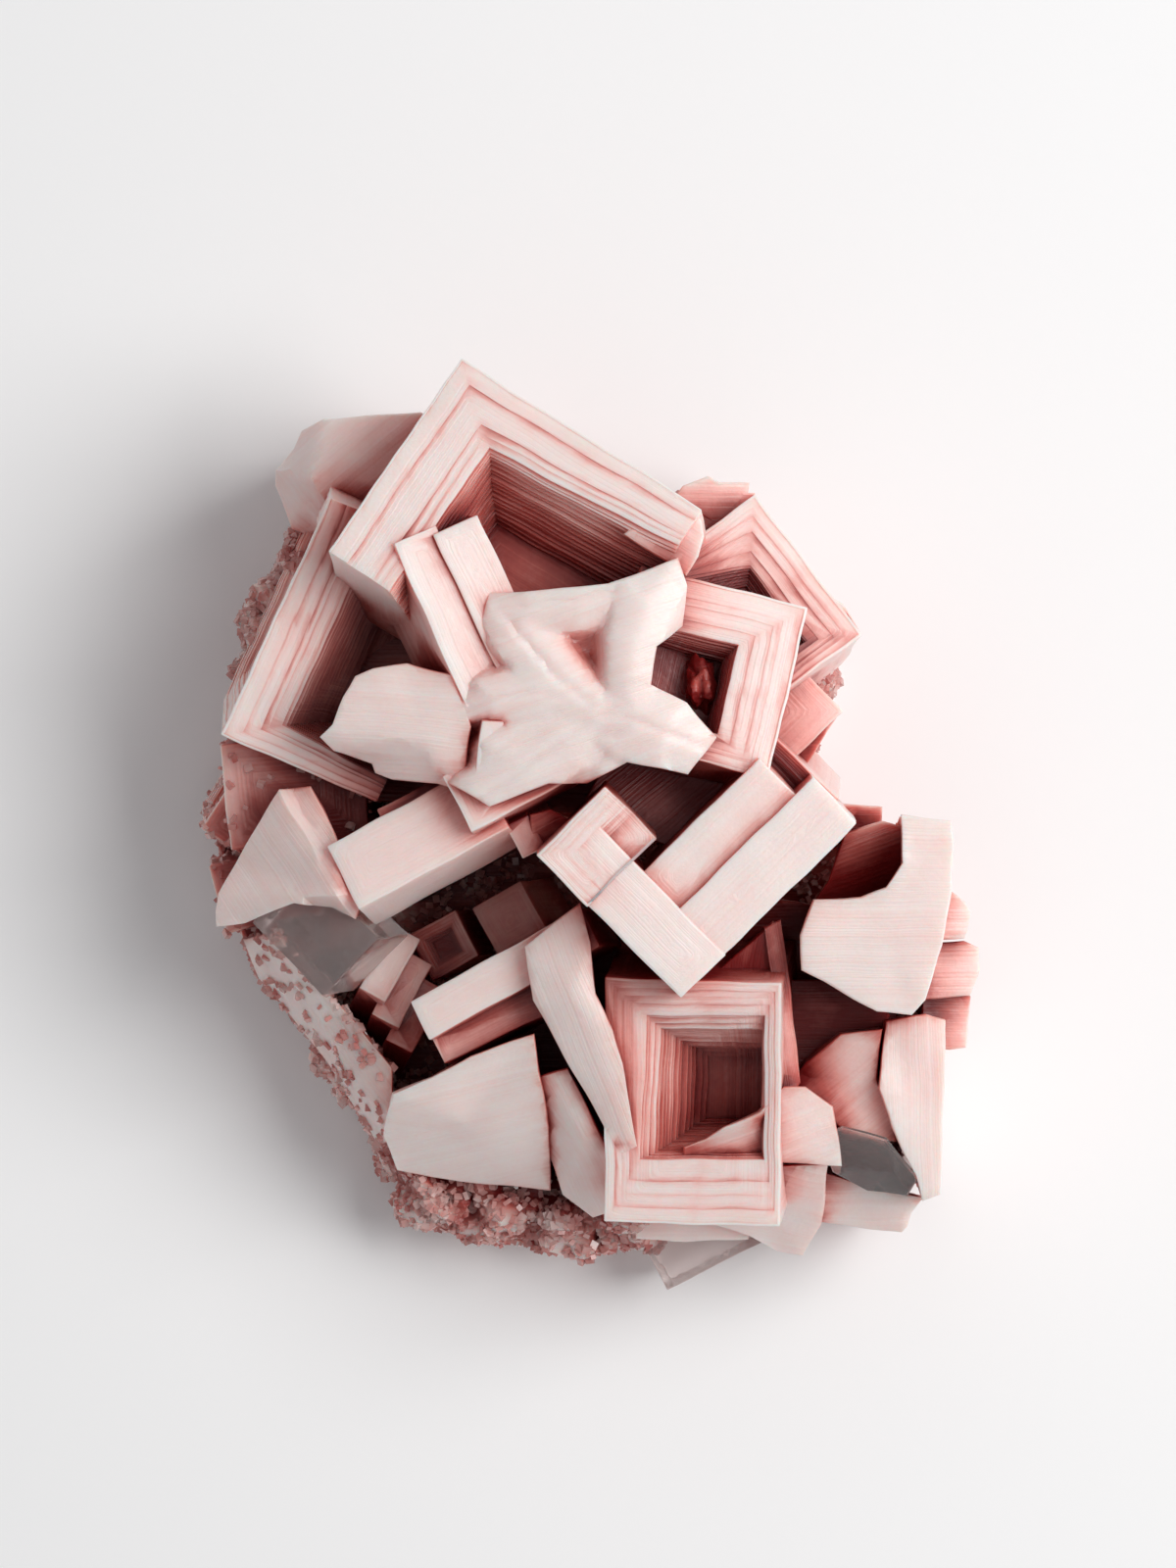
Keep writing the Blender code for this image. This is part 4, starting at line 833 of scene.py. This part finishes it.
def normals_of(points, faces):
    crossed = np.cross(points[faces[:, 1]] - points[faces[:, 0]], points[faces[:, 2]] - points[faces[:, 0]])
    return crossed / np.maximum(np.linalg.norm(crossed, axis=1), 1e-12)[:, None], crossed


def hollow_depth(points, faces, around):
    """How deep in a hollow each point lies: 0 on an open face, towards 1 where near walls surround it. The material
    paints shade with it, darker and redder in hollows and where crystals meet.
    """
    _, crossed = normals_of(points, faces)
    normals = np.zeros(points.shape)
    for k in range(3):
        np.add.at(normals, faces[:, k], crossed)
    normals /= np.maximum(np.linalg.norm(normals, axis=1), 1e-12)[:, None]
    turn = np.arange(HOLLOW_RAYS) * 2.39996
    lift = 1.0 - (2.0 * np.arange(HOLLOW_RAYS) + 1.0) / HOLLOW_RAYS
    flat = np.sqrt(1.0 - lift ** 2)
    rays = np.stack((flat * np.cos(turn), flat * np.sin(turn), lift), axis=1)
    facing = normals @ rays.T
    depth = np.zeros(len(points))
    for i, (point, normal) in enumerate(zip(points, normals)):
        start = Vector(point + normal * 0.06)
        met = weight = 0.0
        for k in np.nonzero(facing[i] > 0.08)[0]:
            share = facing[i, k]
            away = around.ray_cast(start, rays[k], HOLLOW_REACH)[3]
            weight += share
            if away is not None:
                met += share * (1.0 - away / HOLLOW_REACH)
        depth[i] = met / max(weight, 1e-9)
    for _ in range(3):
        total = depth.copy()
        count = np.ones(len(points))
        for a, b in ((0, 1), (1, 2), (2, 0)):
            np.add.at(total, faces[:, a], depth[faces[:, b]])
            np.add.at(count, faces[:, a], 1.0)
        depth = total / count
    return depth


sources = [mesh_arrays(solid.data) for solid, _, _, _ in grown]
offsets = np.cumsum([0] + [len(points) for points, _ in sources])
source_points = np.vstack([points for points, _ in sources])
source_faces = np.vstack([faces + offset for (_, faces), offset in zip(sources, offsets)])
source_owner = np.concatenate([np.full(len(faces), k) for k, (_, faces) in enumerate(sources)])
source_tree = BVHTree.FromPolygons(source_points.tolist(), source_faces.tolist())
solids = [solid for solid, _, _, _ in grown]
while len(solids) > 1:
    pairs = [joined(a, b, "UNION") for a, b in zip(solids[::2], solids[1::2])]
    solids = pairs + solids[len(solids) // 2 * 2:]
points, faces = mesh_arrays(solids[0].data)
bpy.data.objects.remove(solids[0], do_unlink=True)
print("joined", len(faces))
owner = np.array([source_owner[source_tree.find_nearest(Vector(p))[2]] for p in points[faces].mean(axis=1)])
points, faces, owner = finer(points, faces, owner, LONGEST_EDGE)
print("finer", len(faces))


def outer_skin(points, faces, owner):
    """Only the outermost of a mesh's closed shells, and the points that it uses."""
    label = np.arange(len(points))
    while True:
        lowest = label[faces].min(axis=1)
        before = label.copy()
        for k in range(3):
            np.minimum.at(label, faces[:, k], lowest)
        label = label[label]
        if (label == before).all():
            break
    names, sizes = np.unique(label[faces[:, 0]], return_counts=True)
    kept = label[faces[:, 0]] == names[sizes.argmax()]
    used, renumbered = np.unique(faces[kept], return_inverse=True)
    return points[used], renumbered.reshape(-1, 3), owner[kept]


points, faces, owner = outer_skin(points, faces, owner)
print("skin", len(faces), points.min(axis=0).round(2), points.max(axis=0).round(2))
face_normals, _ = normals_of(points, faces)
corner_points = points[faces].reshape(-1, 3)
corner_normals = np.repeat(face_normals, 3, axis=0)
corner_owner = np.repeat(owner, 3)
growth = np.zeros(len(corner_points))
tones_and_shades = np.zeros(len(corner_points))
salt = np.zeros(len(faces))
for k, (_, lines, tone, grains) in enumerate(grown):
    mine = corner_owner == k
    growth[mine] = lines(corner_points[mine], corner_normals[mine]) + 11.3 * k
    tones_and_shades[mine] = tone
    salt[owner == k] = grains
salt[(points[faces].mean(axis=1)[:, 2] < 0.9) | (face_normals[:, 2] < -0.2)] = 0.0
skin_tree = BVHTree.FromPolygons(points.tolist(), faces.tolist())
# Painted shade: the hollow value, how closely near walls surround each point, darkens and reddens the colour in
# hollows and between crystals.
depth = hollow_depth(points, faces, skin_tree)


def as_piece(name, points, faces, sharp=0.6):
    """A finished mesh in metres, shaded smooth up to its sharp edges."""
    mesh = bpy.data.meshes.new(name)
    mesh.from_pydata((points * MILLIMETRE).tolist(), [], faces.tolist())
    mesh.shade_smooth()
    mesh.set_sharp_from_angle(angle=sharp)
    piece = bpy.data.objects.new(name, mesh)
    bpy.context.scene.collection.objects.link(piece)
    return piece


def stored(piece, name, domain, values):
    piece.data.attributes.new(name, "FLOAT", domain).data.foreach_set("value", np.asarray(values, np.float32))


cluster = as_piece("halite_crystals", waved(points), faces)
# The hollow and tone values carry painted shade into the colour.
stored(cluster, "hollow", "POINT", depth)
stored(cluster, "growth", "CORNER", growth)
stored(cluster, "tone", "CORNER", tones_and_shades)
stored(cluster, "salt", "FACE", salt)


class Wire:
    """A value on its way through a material: arithmetic on it adds Math nodes."""

    def __init__(self, tree, socket=None):
        self.tree = tree
        self.socket = socket

    def node(self, kind, settings, values, output=0):
        """Any other node: its settings are set first, then its sockets are given values or links."""
        made = self.tree.nodes.new(kind)
        for name, value in settings.items():
            if name == "stops":
                while len(made.color_ramp.elements) < len(value):
                    made.color_ramp.elements.new(0.5)
                for element, (place, colour) in zip(made.color_ramp.elements, value):
                    element.position = place
                    element.color = colour
            else:
                setattr(made, name, value)
        for name, value in values.items():
            if isinstance(value, Wire):
                self.tree.links.new(value.socket, made.inputs[name])
            else:
                made.inputs[name].default_value = value
        return Wire(self.tree, made.outputs[output])

    def maths(self, operation, first, second=0.0):
        return self.node("ShaderNodeMath", {"operation": operation}, {0: first, 1: second})

    def __add__(self, other):
        return self.maths("ADD", self, other)

    def __radd__(self, other):
        return self.maths("ADD", other, self)

    def __sub__(self, other):
        return self.maths("SUBTRACT", self, other)

    def __rsub__(self, other):
        return self.maths("SUBTRACT", other, self)

    def __mul__(self, other):
        return self.maths("MULTIPLY", self, other)

    def __rmul__(self, other):
        return self.maths("MULTIPLY", other, self)

    def __pow__(self, other):
        return self.maths("POWER", self, other)

    def at_most(self, other):
        return self.maths("MINIMUM", self, other)

    def at_least(self, other):
        return self.maths("MAXIMUM", self, other)


def milky_halite(name, ramp, lines_height, frost_height, glow):
    """Cloudy pink halite: light soaks in, painted shade turns the hollows darker and redder, and fine growth lines
    follow the faces.
    """
    paint = bpy.data.materials.new(name)
    paint.use_nodes = True
    tree = paint.node_tree
    shader = tree.nodes["Principled BSDF"]
    wire = Wire(tree)
    place = wire.node("ShaderNodeTexCoord", {}, {}, "Object")
    hollow = wire.node("ShaderNodeAttribute", {"attribute_name": "hollow"}, {}, "Fac")
    growth = wire.node("ShaderNodeAttribute", {"attribute_name": "growth"}, {}, "Fac")
    tone = wire.node("ShaderNodeAttribute", {"attribute_name": "tone"}, {}, "Fac")
    broad = wire.node("ShaderNodeTexNoise", {"noise_dimensions": "1D"}, {"W": growth, "Scale": 1.1, "Detail": 2.0})
    fine = wire.node("ShaderNodeTexNoise", {"noise_dimensions": "1D"}, {"W": growth, "Scale": 5.5, "Detail": 2.0})
    cloud = wire.node("ShaderNodeTexNoise", {}, {"Vector": place, "Scale": 210.0, "Detail": 3.0})
    frost = wire.node("ShaderNodeTexNoise", {}, {"Vector": place, "Scale": 2600.0, "Detail": 2.0})
    patch = wire.node("ShaderNodeTexNoise", {}, {"Vector": place, "Scale": 900.0, "Detail": 2.0})
    # Painted shade: the hollow value darkens and reddens the colour in hollows and where crystals meet, and the tone
    # darkens the solids that lie low. The noises add real mottling.
    shade_and_mottle = hollow * 1.25 + tone * 0.16 + (broad - 0.5) * 0.16 + (fine - 0.5) * 0.10 + (cloud - 0.5) * 0.22 + (frost - 0.5) * 0.06
    colour = wire.node("ShaderNodeValToRGB", {"stops": ramp}, {"Fac": shade_and_mottle})
    tree.links.new(colour.socket, shader.inputs["Base Color"])
    rough = 0.42 + (frost - 0.5) * 0.3 + (cloud - 0.5) * 0.25
    tree.links.new(rough.socket, shader.inputs["Roughness"])
    height = (broad * 0.5 + fine * 0.5) * lines_height + (frost * 0.6 + patch * 0.4) * frost_height
    bump = wire.node("ShaderNodeBump", {}, {"Height": height, "Distance": 0.001, "Strength": 1.0})
    tree.links.new(bump.socket, shader.inputs["Normal"])
    shader.inputs["IOR"].default_value = 1.544
    shader.inputs["Subsurface Weight"].default_value = glow
    shader.inputs["Subsurface Radius"].default_value = (1.0, 0.42, 0.34)
    shader.inputs["Subsurface Scale"].default_value = 0.0022
    return paint


# The colour from an open face down to the painted shade deep in a hollow: darker and redder.
PINK_TO_SHADED_RED_RAMP = [
    (0.0, (0.94, 0.80, 0.77, 1.0)),
    (0.22, (0.92, 0.66, 0.62, 1.0)),
    (0.42, (0.80, 0.40, 0.36, 1.0)),
    (0.62, (0.52, 0.13, 0.11, 1.0)),
    (0.85, (0.22, 0.012, 0.012, 1.0)),
]
cluster.data.materials.append(milky_halite("milky_pink_halite", PINK_TO_SHADED_RED_RAMP, 0.10, 0.05, 0.85))
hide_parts("halite_cluster")
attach(cluster, "root")

# Loose salt: little cubes of a third of a millimetre to a millimetre, caked on the crust and in its crannies.
# Geometry Nodes strew them over the faces that carry salt, each turned its own way.
GRAINS_PER_MM2 = 2.0
GRAIN_SIZE = 0.00052
GRAIN_LEAST = (0.45, 0.45, 0.45)
GRAIN_MOST = (1.5, 1.5, 1.5)

grain_tree = bpy.data.node_groups.new("strewn_salt", "GeometryNodeTree")
for label, kind, fallback in (
    ("Skin", "NodeSocketObject", None),
    ("Grains per square metre", "NodeSocketFloat", GRAINS_PER_MM2 * 1e6),
    ("Grain size", "NodeSocketFloat", GRAIN_SIZE),
    ("Finish", "NodeSocketMaterial", None),
):
    made = grain_tree.interface.new_socket(label, in_out="INPUT", socket_type=kind)
    if fallback is not None:
        made.default_value = fallback
grain_tree.interface.new_socket("Geometry", in_out="OUTPUT", socket_type="NodeSocketGeometry")
wire = Wire(grain_tree)
given = grain_tree.nodes.new("NodeGroupInput")
skin_in, density_in, size_in, finish_in = [Wire(grain_tree, given.outputs[k]) for k in range(4)]
skin_faces = wire.node("GeometryNodeObjectInfo", {}, {"Object": skin_in}, "Geometry")
salt_here = wire.node("GeometryNodeInputNamedAttribute", {"data_type": "FLOAT"}, {"Name": "salt"}, "Attribute")
strewn = wire.node(
    "GeometryNodeDistributePointsOnFaces", {}, {"Mesh": skin_faces, "Density": salt_here * density_in, "Seed": 4}, "Points",
)
stretch = wire.node("FunctionNodeRandomValue", {"data_type": "FLOAT_VECTOR"}, {0: GRAIN_LEAST, 1: GRAIN_MOST, "Seed": 5}, 0)
turns = wire.node("FunctionNodeRandomValue", {"data_type": "FLOAT_VECTOR"}, {0: (0.0, 0.0, 0.0), 1: (6.28, 6.28, 6.28), "Seed": 6}, 0)
turned_grain = wire.node("FunctionNodeEulerToRotation", {}, {"Euler": turns})
cube = wire.node("GeometryNodeMeshCube", {}, {"Size": size_in * 1.0}, "Mesh")
placed = wire.node(
    "GeometryNodeInstanceOnPoints", {}, {"Points": strewn, "Instance": cube, "Rotation": turned_grain, "Scale": stretch},
)
whole = wire.node("GeometryNodeRealizeInstances", {}, {"Geometry": placed})
finished = wire.node("GeometryNodeSetMaterial", {}, {"Geometry": whole, "Material": finish_in})
leaves = grain_tree.nodes.new("NodeGroupOutput")
grain_tree.links.new(finished.socket, leaves.inputs[0])

rosy_salt = bpy.data.materials.new("rosy_salt_grains")
rosy_salt.use_nodes = True
wire = Wire(rosy_salt.node_tree)
shader = rosy_salt.node_tree.nodes["Principled BSDF"]
place = wire.node("ShaderNodeTexCoord", {}, {}, "Object")
cloud = wire.node("ShaderNodeTexNoise", {}, {"Vector": place, "Scale": 420.0, "Detail": 3.0})
colour = wire.node(
    "ShaderNodeValToRGB",
    {"stops": [(0.3, (0.66, 0.20, 0.18, 1.0)), (0.5, (0.88, 0.46, 0.42, 1.0)), (0.68, (0.96, 0.74, 0.70, 1.0))]},
    {"Fac": cloud},
)
rosy_salt.node_tree.links.new(colour.socket, shader.inputs["Base Color"])
shader.inputs["Roughness"].default_value = 0.18
shader.inputs["IOR"].default_value = 1.544
shader.inputs["Transmission Weight"].default_value = 0.35

strewer = bpy.data.objects.new("salt_strewer", bpy.data.meshes.new("salt_strewer"))
bpy.context.scene.collection.objects.link(strewer)
modifier = strewer.modifiers.new("strewn salt", "NODES")
modifier.node_group = grain_tree
for item in grain_tree.interface.items_tree:
    if item.in_out == "INPUT" and item.name == "Skin":
        modifier[item.identifier] = cluster
    elif item.in_out == "INPUT" and item.name == "Finish":
        modifier[item.identifier] = rosy_salt
grain_mesh = bpy.data.meshes.new_from_object(strewer.evaluated_get(bpy.context.evaluated_depsgraph_get()))
strewer.modifiers.clear()
bpy.data.objects.remove(strewer, do_unlink=True)
grains = bpy.data.objects.new("salt_grains", grain_mesh)
grain_mesh.name = "salt_grains"
bpy.context.scene.collection.objects.link(grains)
print("grains", len(grain_mesh.polygons))
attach(grains, "root")

# The clear chips: three places where a cube broke along its flat cleavage and the salt is as clear as ice. Light
# goes through them, so they are solids of their own with smooth facets.
clear_salt = bpy.data.materials.new("clear_halite")
clear_salt.use_nodes = True
wire = Wire(clear_salt.node_tree)
shader = clear_salt.node_tree.nodes["Principled BSDF"]
place = wire.node("ShaderNodeTexCoord", {}, {}, "Object")
dent = wire.node("ShaderNodeTexNoise", {}, {"Vector": place, "Scale": 420.0, "Detail": 3.0})
bump = wire.node("ShaderNodeBump", {}, {"Height": dent, "Distance": 0.0002, "Strength": 0.5})
clear_salt.node_tree.links.new(bump.socket, shader.inputs["Normal"])
rough = wire.node("ShaderNodeTexNoise", {}, {"Vector": place, "Scale": 260.0, "Detail": 2.0}) * 0.35
clear_salt.node_tree.links.new(rough.socket, shader.inputs["Roughness"])
shader.inputs["Base Color"].default_value = (1.0, 0.90, 0.88, 1.0)
shader.inputs["IOR"].default_value = 1.544
shader.inputs["Transmission Weight"].default_value = 0.9


def clear_chip(name, solid):
    """Takes a solid out of the growth and finishes it as a clear piece of its own."""
    grown.pop()
    chip_points, chip_faces = mesh_arrays(solid.data)
    bpy.data.objects.remove(solid, do_unlink=True)
    chip_points, chip_faces, _ = finer(chip_points, chip_faces, np.zeros(len(chip_faces), int), LONGEST_EDGE)
    chip = as_piece(name, waved(chip_points), chip_faces)
    chip.data.materials.append(clear_salt)
    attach(chip, "root")


clear_chip("clear_cube", crystal((-22.5, -14.5, 26.6), 134.0, (-10.0, 12.0), -1, (8.8, 7.0, 9.0)))
clear_chip("clear_foot", crystal((6.9, -40.3, 9.0), 118.0, (6.0, 8.0), -1, (5.0, 9.6, 7.0)))
clear_chip(
    "cracked_top",
    block(
        [
            (19.6, -26.5, 25.4), (21.6, -25.6, 26.0), (25.4, -26.5, 26.0), (28.1, -29.9, 24.4), (27.2, -31.6, 22.6),
            (23.8, -31.2, 22.4), (20.9, -29.5, 24.0),
        ],
        8.0, inset=1.0, peak=(23.4, -28.2, 25.6),
    ),
)
